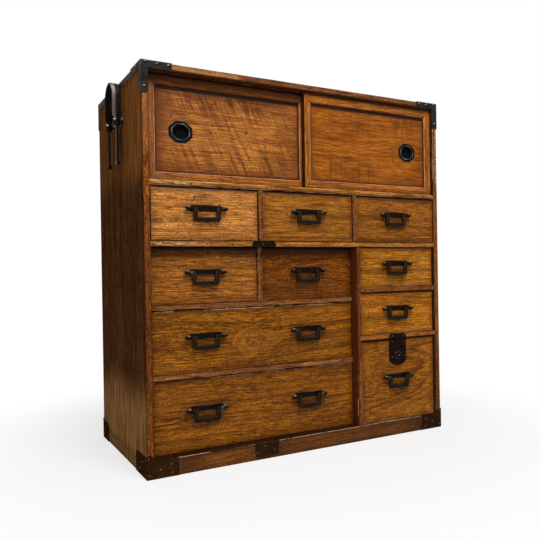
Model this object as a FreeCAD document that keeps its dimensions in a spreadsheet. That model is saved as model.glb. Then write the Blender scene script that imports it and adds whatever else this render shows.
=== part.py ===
import FreeCAD, Part
import os
import Sketcher
from FreeCAD import Vector

# A Japanese chest of ten drawers below a cupboard with two sliding doors, with forged ironwork.
# Millimetres. X runs across the chest, Y from its front (-Y) to its back, Z up.
# The origin is the centre of the footprint, on the floor.

# ---------------------------------------------------------------------------------------------
# Driving dimensions: alias, value, what it is
# ---------------------------------------------------------------------------------------------
SIZES = [
    # Case
    ("width", 800, "over the outer faces of the sides"),
    ("depth", 380, "front face to back face"),
    ("height", 858, "floor to the top of the top board"),
    ("side_thick", 15, "side board"),
    ("top_thick", 14, "top board"),
    ("back_board_thick", 8, "back boards"),
    ("back_boards", 5, "number of back boards, one above the other"),
    ("let_in", 4, "how far a shelf is housed into the board that carries it"),
    ("rail_height", 38, "front rail of the base"),
    ("rail_thick", 18, "front rail of the base"),
    ("skirt_height", 26, "side and back rails of the base"),
    ("shelf_thick", 12, "shelf across the chest, and the sill under the doors"),
    ("block_shelf", 11, "shelves between the drawers of the left block"),
    ("column_shelf", 12, "shelves between the drawers of the right column"),
    ("partition_thick", 13, "upright between the left block and the right column"),
    ("divider_thick", 11, "uprights between neighbouring drawers"),
    ("guide_thick", 6, "guide strip between the right column and the side"),
    ("guide_setback", 3, "guide strip behind the front"),
    ("block_recess", 20, "left block behind the front"),
    # Where the openings are
    ("column_width", 235, "drawer opening of the right column"),
    ("middle_level", 478, "underside of the shelf across the chest"),
    ("low_wide_height", 156.5, "opening of the lowest wide drawer"),
    ("high_wide_height", 137.5, "opening of the upper wide drawer"),
    ("lock_opening", 207.5, "opening of the drawer that locks"),
    ("column_opening", 107, "opening of the drawer above it"),
    ("row_height", 115, "openings of the upper row"),
    ("row_width", 248, "left and middle openings of the upper row"),
    ("small_width", 254, "opening of the left small drawer"),
    # Drawers
    ("front_setback", 1, "drawer front behind the case's edges"),
    ("rest_gap", 0.3, "under a drawer"),
    ("head_gap", 1.5, "over a drawer"),
    ("side_gap", 0.7, "each side of a drawer"),
    ("rear_gap", 10, "behind a closed drawer"),
    ("front_thick", 17, "drawer front"),
    ("front_lip", 8, "what the rebates leave of the drawer front"),
    ("arris", 1, "eased edge of a drawer front"),
    ("drawer_side", 9, "side of a drawer"),
    ("drawer_back", 9, "back of a drawer"),
    ("drawer_bottom", 5, "bottom of a drawer"),
    ("side_drop", 3, "drawer side below the top of its front"),
    # Drop pulls
    ("pull_spread", 261, "between the two pulls of a wide drawer"),
    ("plate_half", 39, "half the length of the back plate"),
    ("plate_above", 7.5, "back plate above the axle"),
    ("plate_below", 5.5, "back plate below the axle"),
    ("plate_clip", 4, "clipped corners of the back plate"),
    ("plate_thick", 1.5, "back plate"),
    ("axle_out", 7, "axle in front of the drawer front"),
    ("axle_radius", 2.5, "axle of the bail"),
    ("axle_gap", 0.3, "between axle and eye"),
    ("eye_radius", 4.7, "eye pin's ring"),
    ("eye_width", 5, "eye pin across"),
    ("eye_spread", 34, "eye pin from the middle of the pull"),
    ("leg_half_thick", 1.2, "half the thickness of the eye pin's two legs together"),
    ("spread_leg", 9, "length of each leg where it is spread inside the drawer"),
    ("spread_thick", 1.2, "thickness of a spread leg"),
    ("bail_half", 31, "half the width of the bail"),
    ("bail_leg", 9, "width of the bail's legs"),
    ("bail_bar", 9.5, "height of the bail's bottom bar"),
    ("bail_drop", 28, "bottom of the bail below its axle"),
    ("bail_head", 3.2, "top of the bail's legs above its axle"),
    ("bail_thick", 5.5, "bail, front to back"),
    ("bail_clip", 1.5, "clipped lower corners of the bail"),
    ("nub_half", 4, "half the width of the point under the bail"),
    ("nub_drop", 3, "point below the bail"),
    ("acorn_length", 12.5, "acorn end of the axle"),
    ("acorn_radius", 5.4, "acorn end of the axle"),
    ("end_float", 0.5, "between an eye pin and the leg or acorn beside it"),
    # Where each drawer's pull is
    ("upper_left_pull_rise", 11, "its axle above the middle of the opening"),
    ("upper_left_pull_aside", 1, "and left of it"),
    ("upper_middle_pull_rise", 11, "its axle above the middle of the opening"),
    ("upper_middle_pull_aside", 3, "and left of it"),
    ("upper_right_pull_rise", 11, "its axle above the middle of the opening"),
    ("upper_right_pull_aside", 5, "and left of it"),
    ("small_left_pull_rise", 6.5, "its axle above the middle of the opening"),
    ("small_left_pull_aside", 1, "and left of it"),
    ("small_right_pull_rise", 6.5, "its axle above the middle of the opening"),
    ("small_right_pull_aside", 3, "and left of it"),
    ("wide_upper_pull_rise", 9, "its axle above the middle of the opening"),
    ("wide_upper_pull_aside", 2.5, "and left of it"),
    ("wide_lower_pull_rise", 10.5, "its axle above the middle of the opening"),
    ("wide_lower_pull_aside", 2.5, "and left of it"),
    ("column_upper_pull_rise", 8.5, "its axle above the middle of the opening"),
    ("column_upper_pull_aside", 5, "and left of it"),
    ("column_lower_pull_rise", 11, "its axle above the middle of the opening"),
    ("column_lower_pull_aside", 5, "and left of it"),
    ("lock_pull_rise", 7.5, "its axle above the middle of the opening"),
    ("lock_pull_aside", 5, "and left of it"),
    # Lock
    ("lock_aside", 3.5, "middle of the lock left of the middle of its drawer"),
    ("lock_plate_half", 27.5, "half the width of the lock plate"),
    ("lock_plate_drop", 68, "lock plate, top to point"),
    ("lock_shoulder_drop", 55, "lock plate, top to where its foot narrows"),
    ("lock_plate_thick", 1.6, "lock plate"),
    ("rosette_drop", 42, "middle of the rosette below the plate's top"),
    ("rosette_radius", 11, "domed rosette"),
    ("rosette_height", 4.5, "domed rosette"),
    ("keyhole_across", 12, "keyhole beside the middle of the lock"),
    ("keyhole_drop", 21, "middle of the keyhole below the plate's top"),
    ("keyhole_width", 3, "keyhole"),
    ("keyhole_height", 8, "keyhole"),
    ("lock_case_half", 24, "half the width of the lock's case"),
    ("lock_case_height", 48, "lock's case"),
    ("lock_case_thick", 14, "lock's case, front to back"),
    ("lock_case_drop", 2, "lock's case below the top of the drawer front"),
    ("bolt_half", 13, "half the width of the bolt"),
    ("bolt_thick", 6, "bolt, front to back"),
    ("bolt_length", 30, "bolt"),
    ("bolt_gap", 0.3, "around the bolt in its channel"),
    ("strike_depth", 7.5, "strike pocket over the bolt"),
    ("strike_gap", 1.5, "around the bolt in its strike pocket"),
    # Doors
    ("door_thick", 13, "door frame"),
    ("door_overlap", 15, "doors over each other when closed"),
    ("door_gap", 0.5, "beside a closed door"),
    ("front_door_setback", 7, "face of the door in the front track"),
    ("track_pitch", 15, "between the two tracks"),
    ("groove_width", 7, "track groove"),
    ("top_groove_depth", 7.5, "upper track groove"),
    ("sill_groove_depth", 3, "lower track groove"),
    ("tongue_gap", 0.3, "each side of a tongue in its groove, and under it"),
    ("top_tongue", 8.5, "tongue above the door's upper shoulder"),
    ("shoulder_gap", 4, "over the door's upper shoulder, room to lift it out"),
    ("member_width", 20, "members of the door frame"),
    ("bevel_width", 6, "bevel along the inner edge of the frame, seen from the front"),
    ("bevel_depth", 3, "bevel, front to back"),
    ("panel_thick", 5, "door panel"),
    ("panel_setback", 5, "panel behind the face of the frame"),
    ("panel_housing", 5, "how far the panel reaches into the frame"),
    ("finger_across", 77, "middle of the finger pull from the door's outer edge"),
    ("finger_drop", 4, "middle of the finger pull below the middle of the door"),
    ("finger_half_width", 27.5, "finger pull's rim"),
    ("finger_half_height", 23.5, "finger pull's rim"),
    ("finger_rim_thick", 2, "finger pull's rim, proud of the panel"),
    ("cup_half_width", 17, "opening of the cup"),
    ("cup_half_height", 14, "opening of the cup"),
    ("cup_wall", 1.2, "wall and floor of the cup"),
    ("cup_depth", 6.5, "floor of the cup behind the panel's face"),
    ("cup_clip", 6, "clipped corners of the cup"),
    # Irons on the case
    ("iron_thick", 1.6, "strap irons"),
    ("top_arm_across", 66, "upper corner iron along the top edge of the front"),
    ("top_arm_deep", 75, "upper corner iron along the top edge of the side"),
    ("top_arm_down", 66, "upper corner iron down the upright edge"),
    ("top_arm_width", 14, "arms of the upper corner iron"),
    ("foot_across", 70, "lower corner iron along the front rail"),
    ("foot_post_height", 50, "lower corner iron up the upright edge"),
    ("foot_post_width", 13, "lower corner iron's upright arm"),
    ("foot_deep", 80, "lower corner iron along the side, at the front"),
    ("foot_deep_back", 55, "lower corner iron along the side, at the back"),
    ("foot_side_height", 45, "lower corner iron on the side"),
    ("iron_clip", 5, "clipped ends of the irons"),
    ("strike_plate_across", 277, "middle of the two plates of the left block, from the left side"),
    ("strike_plate_half", 30, "half the width of those plates"),
    ("rail_plate_low", 5, "lower edge of the plate on the front rail"),
    ("lock_strike_half", 27, "half the width of the plate over the lock"),
    # Pole loops
    ("loop_legs", 69, "between the middles of a pole loop's legs"),
    ("loop_out", 12, "middle of the loop's strap from the side board"),
    ("loop_strap_width", 18, "strap of the loop, across the chest"),
    ("loop_strap_thick", 5, "strap of the loop"),
    ("loop_drop", 86, "where the strap rests on its eyes, below the top of the chest"),
    ("loop_height", 88, "top of the loop above where it rests"),
    ("loop_taper", 8, "height over which the strap narrows to the rod"),
    ("rod_radius", 3, "rod below the strap"),
    ("rod_length", 104, "rod and button below where the strap rests"),
    ("button_radius", 6, "button at the end of a rod"),
    ("button_height", 9, "button at the end of a rod"),
    ("eye_ring_radius", 8, "eye around a rod"),
    ("eye_ring_height", 14, "eye around a rod"),
    ("rod_gap", 0.4, "between rod and eye"),
    ("washer_radius", 11, "washer under an eye"),
    ("washer_thick", 1.6, "washer under an eye"),
    ("shank_half", 3, "half the thickness of an eye's shank"),
]

# Outlines of the small turned and forged pieces, as shares of their own sizes
ACORN = [(1, 0.35), (0.88, 0.78), (0.64, 1), (0.32, 0.9)]  # along its length, out to its radius
ROSETTE = [(0.55, 0.82), (0.9, 0.45)]  # up its height, out to its radius
ROSETTE_BACK = 0.8  # radius that is let into the lock plate
BUTTON = [(0, 0.6), (0.35, 1), (0.75, 0.85)]  # up its height, out to its radius
FINGER_RIM = [(1, 0.2), (0.95, 0.48), (0.78, 0.66), (0.72, 0.82), (0.5, 1)]  # across, up
LOCK_FOOT = (0.55, 0.7)  # corner of the lock plate's foot: across, and down from shoulder to point

# Positions that follow from the driving dimensions: alias, formula
LAYOUT = [
    ("right", "Dims.width / 2"),
    ("left", "0 - right"),
    ("back", "Dims.depth / 2"),
    ("front", "0 - back"),
    ("inner_right", "right - Dims.side_thick"),
    ("inner_left", "0 - inner_right"),
    ("inside_back", "back - Dims.back_board_thick"),
    ("block_front", "front + Dims.block_recess"),
    ("column_right", "inner_right - Dims.guide_thick"),
    ("column_left", "column_right - Dims.column_width"),
    ("partition_left", "column_left - Dims.partition_thick"),
    ("row_left_end", "inner_left + Dims.row_width"),
    ("row_middle_start", "row_left_end + Dims.divider_thick"),
    ("row_middle_end", "row_middle_start + Dims.row_width"),
    ("row_right_start", "row_middle_end + Dims.divider_thick"),
    ("small_left_end", "inner_left + Dims.small_width"),
    ("small_right_start", "small_left_end + Dims.divider_thick"),
    ("low_wide_top", "Dims.rail_height + Dims.low_wide_height"),
    ("high_wide_floor", "low_wide_top + Dims.block_shelf"),
    ("high_wide_top", "high_wide_floor + Dims.high_wide_height"),
    ("small_floor", "high_wide_top + Dims.block_shelf"),
    ("lock_top", "Dims.rail_height + Dims.lock_opening"),
    ("column_low_floor", "lock_top + Dims.column_shelf"),
    ("column_low_top", "column_low_floor + Dims.column_opening"),
    ("column_high_floor", "column_low_top + Dims.column_shelf"),
    ("row_floor", "Dims.middle_level + Dims.shelf_thick"),
    ("row_top", "row_floor + Dims.row_height"),
    ("sill_top", "row_top + Dims.shelf_thick"),
    ("ceiling", "Dims.height - Dims.top_thick"),
    ("drawer_end", "inside_back - Dims.rear_gap"),
    ("lock_middle", "(column_left + column_right) / 2 - Dims.lock_aside"),
    ("bolt_line", "front + Dims.front_setback + Dims.front_thick + Dims.lock_case_thick / 2"),
    ("lock_front_top", "lock_top - Dims.head_gap"),
    ("bolt_top", "lock_front_top - Dims.lock_case_drop"),
    ("front_track", "front + Dims.front_door_setback + Dims.door_thick / 2"),
    ("rear_track", "front_track + Dims.track_pitch"),
    ("door_width", "(inner_right - inner_left + Dims.door_overlap) / 2 - Dims.door_gap"),
    ("door_base", "sill_top + Dims.tongue_gap"),
    ("door_shoulder", "ceiling - Dims.shoulder_gap"),
    ("base", "Dims.rail_height"),
    ("middle", "Dims.middle_level"),
    ("tongue_thick", "Dims.groove_width - 2 * Dims.tongue_gap"),
    ("loop_shoulder", "Dims.height - Dims.loop_drop"),
    ("rod_foot", "loop_shoulder - Dims.rod_length"),
]

# Drawers: name, then left, right, floor and top of the opening, and the case's front plane there
DRAWERS = [
    ("upper_left", "inner_left", "row_left_end", "row_floor", "row_top", "front"),
    ("upper_middle", "row_middle_start", "row_middle_end", "row_floor", "row_top", "front"),
    ("upper_right", "row_right_start", "inner_right", "row_floor", "row_top", "front"),
    ("small_left", "inner_left", "small_left_end", "small_floor", "middle", "block_front"),
    ("small_right", "small_right_start", "partition_left", "small_floor", "middle", "block_front"),
    ("wide_upper", "inner_left", "partition_left", "high_wide_floor", "high_wide_top", "block_front"),
    ("wide_lower", "inner_left", "partition_left", "base", "low_wide_top", "block_front"),
    ("column_upper", "column_left", "column_right", "column_high_floor", "middle", "front"),
    ("column_lower", "column_left", "column_right", "column_low_floor", "column_low_top", "front"),
    ("lock", "column_left", "column_right", "base", "lock_top", "front"),
]

TWO_PULLS = ("wide_upper", "wide_lower")

doc = FreeCAD.newDocument("drawer_chest")


def fill_sheet(name, rows):
    """Writes alias and content into a sheet of its own, one row each."""
    sheet = doc.addObject("Spreadsheet::Sheet", name)
    for number, (alias, content, *note) in enumerate(rows, start=1):
        sheet.set(f"A{number}", alias)
        sheet.set(f"B{number}", content)
        sheet.setAlias(f"B{number}", alias)
        if note:
            sheet.set(f"C{number}", note[0])
    return sheet


dims = fill_sheet("Dims", [(alias, str(size), note) for alias, size, note in SIZES])
fill_sheet("Layout", [(alias, f"={formula}") for alias, formula in LAYOUT])
doc.recompute()


def value(expression):
    """The number that an expression gives now."""
    return float(dims.evalExpression(expression))


# ---------------------------------------------------------------------------------------------
# Ways of making a piece
# ---------------------------------------------------------------------------------------------
def place(piece, x="0", y="0", z="0"):
    for axis, expression in zip("xyz", (x, y, z)):
        piece.setExpression(f"Placement.Base.{axis}", expression)
    return piece


def board(name, x, y, z):
    """A plain board; x, y and z are each the pair of planes that it lies between."""
    piece = doc.addObject("Part::Box", name)
    for side, (low, high) in zip(("Length", "Width", "Height"), (x, y, z)):
        piece.setExpression(side, f"({high}) - ({low})")
    return place(piece, x[0], y[0], z[0])


def rod(name, radius, height, x, y, z):
    """An upright round rod standing on the point x, y, z."""
    piece = doc.addObject("Part::Cylinder", name)
    piece.setExpression("Radius", radius)
    piece.setExpression("Height", height)
    return place(piece, x, y, z)


def together(name, pieces):
    """Separate solids as one object."""
    group = doc.addObject("Part::Compound", name)
    group.Links = pieces
    return group


def fused(name, pieces):
    """Pieces made into one solid."""
    whole = doc.addObject("Part::MultiFuse", name)
    whole.Shapes = pieces
    return whole


def cut(name, base, tools):
    """A piece with the room that other pieces take cut out of it."""
    result = doc.addObject("Part::Cut", name)
    result.Base = base
    result.Tool = tools[0] if len(tools) == 1 else together(f"{name}_tools", tools)
    return result


def mirrored(name, source, x=0, y=0):
    """The same piece on the other side of the plane X = 0 or Y = 0."""
    other = doc.addObject("Part::Mirroring", name)
    other.Source = source
    other.Normal = Vector(x, y, 0)
    return other


def sketch(body, plane, name, offset="0"):
    """A sketch on one of the body's own origin planes, moved along its normal by offset."""
    drawing = body.newObject("Sketcher::SketchObject", name)
    support = next(item for item in body.Origin.OriginFeatures if item.Role == plane)
    drawing.AttachmentSupport = [(support, "")]
    drawing.MapMode = "FlatFace"
    drawing.setExpression("AttachmentOffset.Base.z", offset)
    return drawing


def fix(drawing, edge, point, axis, expression):
    """Ties one coordinate of a point to an expression."""
    if expression == "0":
        drawing.addConstraint(Sketcher.Constraint("PointOnObject", edge, point, -2 if axis == "X" else -1))
        return
    number = drawing.addConstraint(
        Sketcher.Constraint(f"Distance{axis}", -1, 1, edge, point, value(expression)))
    drawing.setExpression(f"Constraints[{number}]", expression)


def outline(drawing, corners, arcs=None):
    """A closed wire through corners, which are pairs of expressions in anticlockwise order.

    arcs says which edges are round, by number: (axis, expression, swell). The expression places the
    arc's centre along that axis, and swell is 1 for an edge that swells outward and -1 for a hollow one.
    """
    arcs = arcs or {}
    first = drawing.GeometryCount
    points = [Vector(value(x), value(y), 0) for x, y in corners]
    ends = []
    for number, start in enumerate(points):
        stop = points[(number + 1) % len(points)]
        if number not in arcs:
            drawing.addGeometry(Part.LineSegment(start, stop))
            ends.append((1, 2))
            continue
        axis, expression, swell = arcs[number]
        span, half = stop - start, (stop * stop - start * start) / 2
        if axis == "X":
            centre = Vector(value(expression), (half - span.x * value(expression)) / span.y, 0)
        else:
            centre = Vector((half - span.y * value(expression)) / span.x, value(expression), 0)
        begin, end = (start, stop) if swell > 0 else (stop, start)
        circle = Part.Circle(centre, Vector(0, 0, 1), (start - centre).Length)
        drawing.addGeometry(Part.ArcOfCircle(circle, circle.parameter(begin), circle.parameter(end)))
        ends.append((1, 2) if swell > 0 else (2, 1))
    count = len(points)
    for number, (x, y) in enumerate(corners):
        edge, following = first + number, (number + 1) % count
        drawing.addConstraint(Sketcher.Constraint(
            "Coincident", edge, ends[number][1], first + following, ends[following][0]))
        fix(drawing, edge, ends[number][0], "X", x)
        fix(drawing, edge, ends[number][0], "Y", y)
        if number in arcs:
            fix(drawing, edge, 3, arcs[number][0], arcs[number][1])


def rectangle(drawing, x, y):
    outline(drawing, [(x[0], y[0]), (x[1], y[0]), (x[1], y[1]), (x[0], y[1])])


def circle(drawing, x, y, radius):
    edge = drawing.addGeometry(Part.Circle(Vector(value(x), value(y), 0), Vector(0, 0, 1), value(radius)))
    fix(drawing, edge, 3, "X", x)
    fix(drawing, edge, 3, "Y", y)
    number = drawing.addConstraint(Sketcher.Constraint("Radius", edge, value(radius)))
    drawing.setExpression(f"Constraints[{number}]", radius)


def pad(body, drawing, length, side="One side", reverse=False):
    feature = body.newObject("PartDesign::Pad", f"{drawing.Name}_pad")
    feature.Profile = drawing
    feature.SideType = side
    feature.Reversed = reverse
    feature.setExpression("Length", length)
    return feature


def pocket(body, drawing, length, reverse=False):
    feature = body.newObject("PartDesign::Pocket", f"{drawing.Name}_pocket")
    feature.Profile = drawing
    feature.Reversed = reverse
    feature.setExpression("Length", length)
    return feature


def revolution(body, drawing, axis):
    feature = body.newObject("PartDesign::Revolution", f"{drawing.Name}_revolution")
    feature.Profile = drawing
    feature.ReferenceAxis = (drawing, [axis])
    feature.Angle = 360
    return feature


def body_of(name):
    return doc.addObject("PartDesign::Body", name)


def plate(name, corners, thick, plane="XZ_Plane", offset="0", reverse=False):
    """A flat iron cut to an outline."""
    body = body_of(name)
    drawing = sketch(body, plane, f"{name}_outline", offset)
    outline(drawing, corners)
    pad(body, drawing, thick, reverse=reverse)
    return body


nodes = {}


def keep(name, piece):
    """Names a finished piece; its file takes the same name."""
    piece.Label = name
    nodes[name] = piece
    return piece


# ---------------------------------------------------------------------------------------------
# Drop pull: back plate, two eye pins, bail. Its own origin is on the drawer front, in the middle
# and level with the axle.
# ---------------------------------------------------------------------------------------------
def back_plate():
    """A long plate with clipped corners, laid on the drawer front."""
    clipped_end = "Dims.plate_half - Dims.plate_clip"
    low, high = "0 - Dims.plate_below", "Dims.plate_above"
    low_clip, high_clip = "Dims.plate_clip - Dims.plate_below", "Dims.plate_above - Dims.plate_clip"
    return plate("back_plate", [
        (f"0 - ({clipped_end})", low), (clipped_end, low), ("Dims.plate_half", low_clip),
        ("Dims.plate_half", high_clip), (clipped_end, high), (f"0 - ({clipped_end})", high),
        ("0 - Dims.plate_half", high_clip), ("0 - Dims.plate_half", low_clip),
    ], "Dims.plate_thick")


def eye_pin():
    """A ring around the axle, its two legs through the front, and their ends spread inside it.

    Seen from the side the ring is an arc from one face of the legs round to the other.
    """
    body = body_of("eye_pin")
    drawing = sketch(body, "YZ_Plane", "eye_pin_outline", "0 - Dims.eye_width / 2")
    half = "Dims.leg_half_thick"
    root = "sqrt(Dims.eye_radius * Dims.eye_radius - Dims.leg_half_thick * Dims.leg_half_thick)"
    neck = f"{root} - Dims.axle_out"
    inside, end = "Dims.front_thick", "Dims.front_thick + Dims.spread_thick"
    reach = "Dims.spread_leg + Dims.leg_half_thick"
    outline(drawing, [
        (neck, half), (neck, f"0 - {half}"), (inside, f"0 - {half}"), (inside, f"0 - ({reach})"),
        (end, f"0 - ({reach})"), (end, reach), (inside, reach), (inside, half),
    ], {0: ("X", "0 - Dims.axle_out", 1)})
    circle(drawing, "0 - Dims.axle_out", "0", "Dims.axle_radius + Dims.axle_gap")
    pad(body, drawing, "Dims.eye_width")
    return body


def bail():
    """A square bail: two legs and a bottom bar with a small point, and an axle with acorn ends."""
    body = body_of("bail")
    frame = sketch(body, "XZ_Plane", "bail_outline", "Dims.axle_out - Dims.bail_thick / 2")
    outer, inner = "Dims.bail_half", "Dims.bail_half - Dims.bail_leg"
    bottom, top = "0 - Dims.bail_drop", "Dims.bail_head"
    clip_x, clip_z = "Dims.bail_half - Dims.bail_clip", "Dims.bail_clip - Dims.bail_drop"
    bar_top = "Dims.bail_bar - Dims.bail_drop"
    outline(frame, [
        ("0 - Dims.nub_half", bottom), ("0", "0 - Dims.bail_drop - Dims.nub_drop"),
        ("Dims.nub_half", bottom), (clip_x, bottom), (outer, clip_z), (outer, top), (inner, top),
        (inner, bar_top), (f"0 - ({inner})", bar_top), (f"0 - ({inner})", top), (f"0 - {outer}", top),
        (f"0 - {outer}", clip_z), (f"0 - ({clip_x})", bottom),
    ])
    pad(body, frame, "Dims.bail_thick")
    axle = sketch(body, "XZ_Plane", "axle_profile", "Dims.axle_out")
    root = "Dims.bail_half - Dims.bail_leg / 2"
    neck = "Dims.eye_spread + Dims.eye_width / 2 + Dims.end_float"
    acorn = [(f"{neck} + Dims.acorn_length * {along}", f"Dims.acorn_radius * {out}") for along, out in ACORN]
    profile = [(root, "0"), (f"{neck} + Dims.acorn_length", "0"), *acorn,
               (neck, "Dims.axle_radius"), (root, "Dims.axle_radius")]
    outline(axle, profile)
    outline(axle, [(f"0 - ({x})", z) for x, z in reversed(profile)])
    revolution(body, axle, "H_Axis")
    return body


plate_pattern = back_plate()
eye_pattern = eye_pin()
bail_pattern = bail()
eyes = [place(together(f"eye_pin_{side}", [eye_pattern]), x=f"{sign} * Dims.eye_spread")
        for side, sign in (("left", -1), ("right", 1))]
mount_pattern = together("pull_mount", [cut("back_plate_seated", plate_pattern, eyes)] + eyes)


# ---------------------------------------------------------------------------------------------
# Lock of the right column's lowest drawer
# ---------------------------------------------------------------------------------------------
def lock_face():
    """A plate with a pointed foot and a domed rosette, turned about the rosette's own axis."""
    body = body_of("lock_face")
    place(body, "Layout.lock_middle", "Layout.front + Dims.front_setback",
          "Layout.lock_front_top - Dims.rosette_drop")
    half, top = "Dims.lock_plate_half", "Dims.rosette_drop"
    shoulder = "Dims.rosette_drop - Dims.lock_shoulder_drop"
    point = "Dims.rosette_drop - Dims.lock_plate_drop"
    across, down = LOCK_FOOT
    waist = f"Dims.lock_plate_half * {across}"
    heel = f"{shoulder} - (Dims.lock_plate_drop - Dims.lock_shoulder_drop) * {down}"
    drawing = sketch(body, "XZ_Plane", "lock_face_outline")
    outline(drawing, [
        (f"0 - {half}", top), (f"0 - {half}", shoulder), (f"0 - {waist}", heel), ("0", point),
        (waist, heel), (half, shoulder), (half, top),
    ])
    pad(body, drawing, "Dims.lock_plate_thick")
    dome = sketch(body, "YZ_Plane", "rosette_profile")
    foot, radius = "0 - Dims.lock_plate_thick", "Dims.rosette_radius"
    bulge = [(f"{foot} - Dims.rosette_height * {up}", f"{radius} * {out}") for up, out in ROSETTE]
    outline(dome, [("0", "0"), ("0", f"{radius} * {ROSETTE_BACK}"), (foot, radius), *bulge,
                   (f"{foot} - Dims.rosette_height", "0")])
    revolution(body, dome, "H_Axis")
    return body


def on_bolt_line(name, half_width, half_thick, low, high):
    """An upright block centred on the line that the bolt moves along."""
    return board(name, (f"Layout.lock_middle - ({half_width})", f"Layout.lock_middle + {half_width}"),
                 (f"Layout.bolt_line - ({half_thick})", f"Layout.bolt_line + {half_thick}"), (low, high))


channel_half = "Dims.bolt_half + Dims.bolt_gap"
channel_half_thick = "Dims.bolt_thick / 2 + Dims.bolt_gap"
lock_case = on_bolt_line("lock_case_block", "Dims.lock_case_half", "Dims.lock_case_thick / 2",
                         "Layout.bolt_top - Dims.lock_case_height", "Layout.bolt_top")
bolt_channel = on_bolt_line("bolt_channel", channel_half, channel_half_thick,
                            "Layout.bolt_top - Dims.bolt_length - Dims.bolt_gap", "Layout.bolt_top")
strike_pocket = on_bolt_line("strike_pocket", "Dims.bolt_half + Dims.strike_gap",
                             "Dims.bolt_thick / 2 + Dims.strike_gap",
                             "Layout.lock_top", "Layout.lock_top + Dims.strike_depth")
bolt = on_bolt_line("bolt_block", "Dims.bolt_half", "Dims.bolt_thick / 2",
                    "Layout.bolt_top - Dims.bolt_length", "Layout.bolt_top")
keyhole_line = "Layout.lock_middle + Dims.keyhole_across"
keyhole_level = "Layout.lock_front_top - Dims.keyhole_drop"
keyhole = board("keyhole",
                (f"{keyhole_line} - Dims.keyhole_width / 2", f"{keyhole_line} + Dims.keyhole_width / 2"),
                ("Layout.front - Dims.lock_plate_thick", "Layout.bolt_line"),
                (f"{keyhole_level} - Dims.keyhole_height / 2", f"{keyhole_level} + Dims.keyhole_height / 2"))
lock_parts = [cut("lock_face_pierced", lock_face(), [keyhole]),
              cut("lock_case", lock_case, [together("lock_hollows", [bolt_channel, keyhole])])]
keep("lock_plate", together("lock_plate_group", lock_parts))
keep("lock_bolt", together("lock_bolt_group", [bolt]))


# ---------------------------------------------------------------------------------------------
# Drawers
# ---------------------------------------------------------------------------------------------
def face_towards_front(shape):
    """The name of the flat face that lies furthest to the front."""
    number = min(range(len(shape.Faces)), key=lambda index: shape.Faces[index].CenterOfMass.y)
    return f"Face{number + 1}"


def drawer_front(name, x, plane, z, let_through):
    """A front board rebated at both ends for the drawer's sides, eased round its face.

    Its profile is the view from above, and let_through are the pieces that pass into or through it.
    """
    body = body_of(f"{name}_front_body")
    place(body, x[0], plane, z[0])
    width = f"({x[1]}) - ({x[0]})"
    plan = sketch(body, "XY_Plane", f"{name}_front_plan")
    outline(plan, [
        ("0", "0"), (width, "0"), (width, "Dims.front_lip"),
        (f"{width} - Dims.drawer_side", "Dims.front_lip"),
        (f"{width} - Dims.drawer_side", "Dims.front_thick"), ("Dims.drawer_side", "Dims.front_thick"),
        ("Dims.drawer_side", "Dims.front_lip"), ("0", "Dims.front_lip"),
    ])
    block = pad(body, plan, f"({z[1]}) - ({z[0]})")
    doc.recompute()  # the face to be eased is found on the finished block
    eased = body.newObject("PartDesign::Chamfer", f"{name}_front_arris")
    eased.Base = (block, [face_towards_front(block.Shape)])
    eased.setExpression("Size", "Dims.arris")
    return cut(f"{name}_front", body, let_through)


def drawer(name, left, right, floor, top, case_plane):
    """Front, box and pulls of one drawer, from the opening that it fills."""
    x = (f"Layout.{left} + Dims.side_gap", f"Layout.{right} - Dims.side_gap")
    z = (f"Layout.{floor} + Dims.rest_gap", f"Layout.{top} - Dims.head_gap")
    plane = f"Layout.{case_plane} + Dims.front_setback"
    start, end = f"{plane} + Dims.front_lip", "Layout.drawer_end"
    bottom = board(f"{name}_bottom", x, (start, end), (z[0], f"{z[0]} + Dims.drawer_bottom"))
    upright = (f"{z[0]} + Dims.drawer_bottom", f"{z[1]} - Dims.side_drop")
    left_side = board(f"{name}_left", (x[0], f"{x[0]} + Dims.drawer_side"), (start, end), upright)
    right_side = board(f"{name}_right", (f"{x[1]} - Dims.drawer_side", x[1]), (start, end), upright)
    back = board(f"{name}_back", (f"{x[0]} + Dims.drawer_side", f"{x[1]} - Dims.drawer_side"),
                 (f"{end} - Dims.drawer_back", end), upright)
    keep(f"{name}_drawer_box", together(f"{name}_box", [bottom, left_side, right_side, back]))

    middle = f"(Layout.{left} + Layout.{right}) / 2 - Dims.{name}_pull_aside"
    level = f"(Layout.{floor} + Layout.{top}) / 2 + Dims.{name}_pull_rise"
    places = {"": middle}
    if name in TWO_PULLS:
        places = {"_left": f"{middle} - Dims.pull_spread / 2", "_right": f"{middle} + Dims.pull_spread / 2"}
    mounts = []
    for side, across in places.items():
        mounts.append(place(together(f"{name}_mount{side}", [mount_pattern]), across, plane, level))
        hanging = together(f"{name}_bail_group{side}", [bail_pattern])
        keep(f"{name}_bail{side}", place(hanging, across, plane, level))
    keep(f"{name}_pull_mount", together(f"{name}_mounts", mounts))
    let_through = [bottom] + mounts + ([keyhole] if name == "lock" else [])
    keep(f"{name}_drawer_front", drawer_front(name, x, plane, z, let_through))


for row in DRAWERS:
    drawer(*row)


# ---------------------------------------------------------------------------------------------
# Sliding doors
# ---------------------------------------------------------------------------------------------
def pierce(body, drawing):
    """Cuts the drawn shape right through the body, both ways."""
    feature = body.newObject("PartDesign::Pocket", f"{drawing.Name}_pocket")
    feature.Profile = drawing
    feature.Type = "ThroughAll"
    feature.SideType = "Symmetric"


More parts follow.
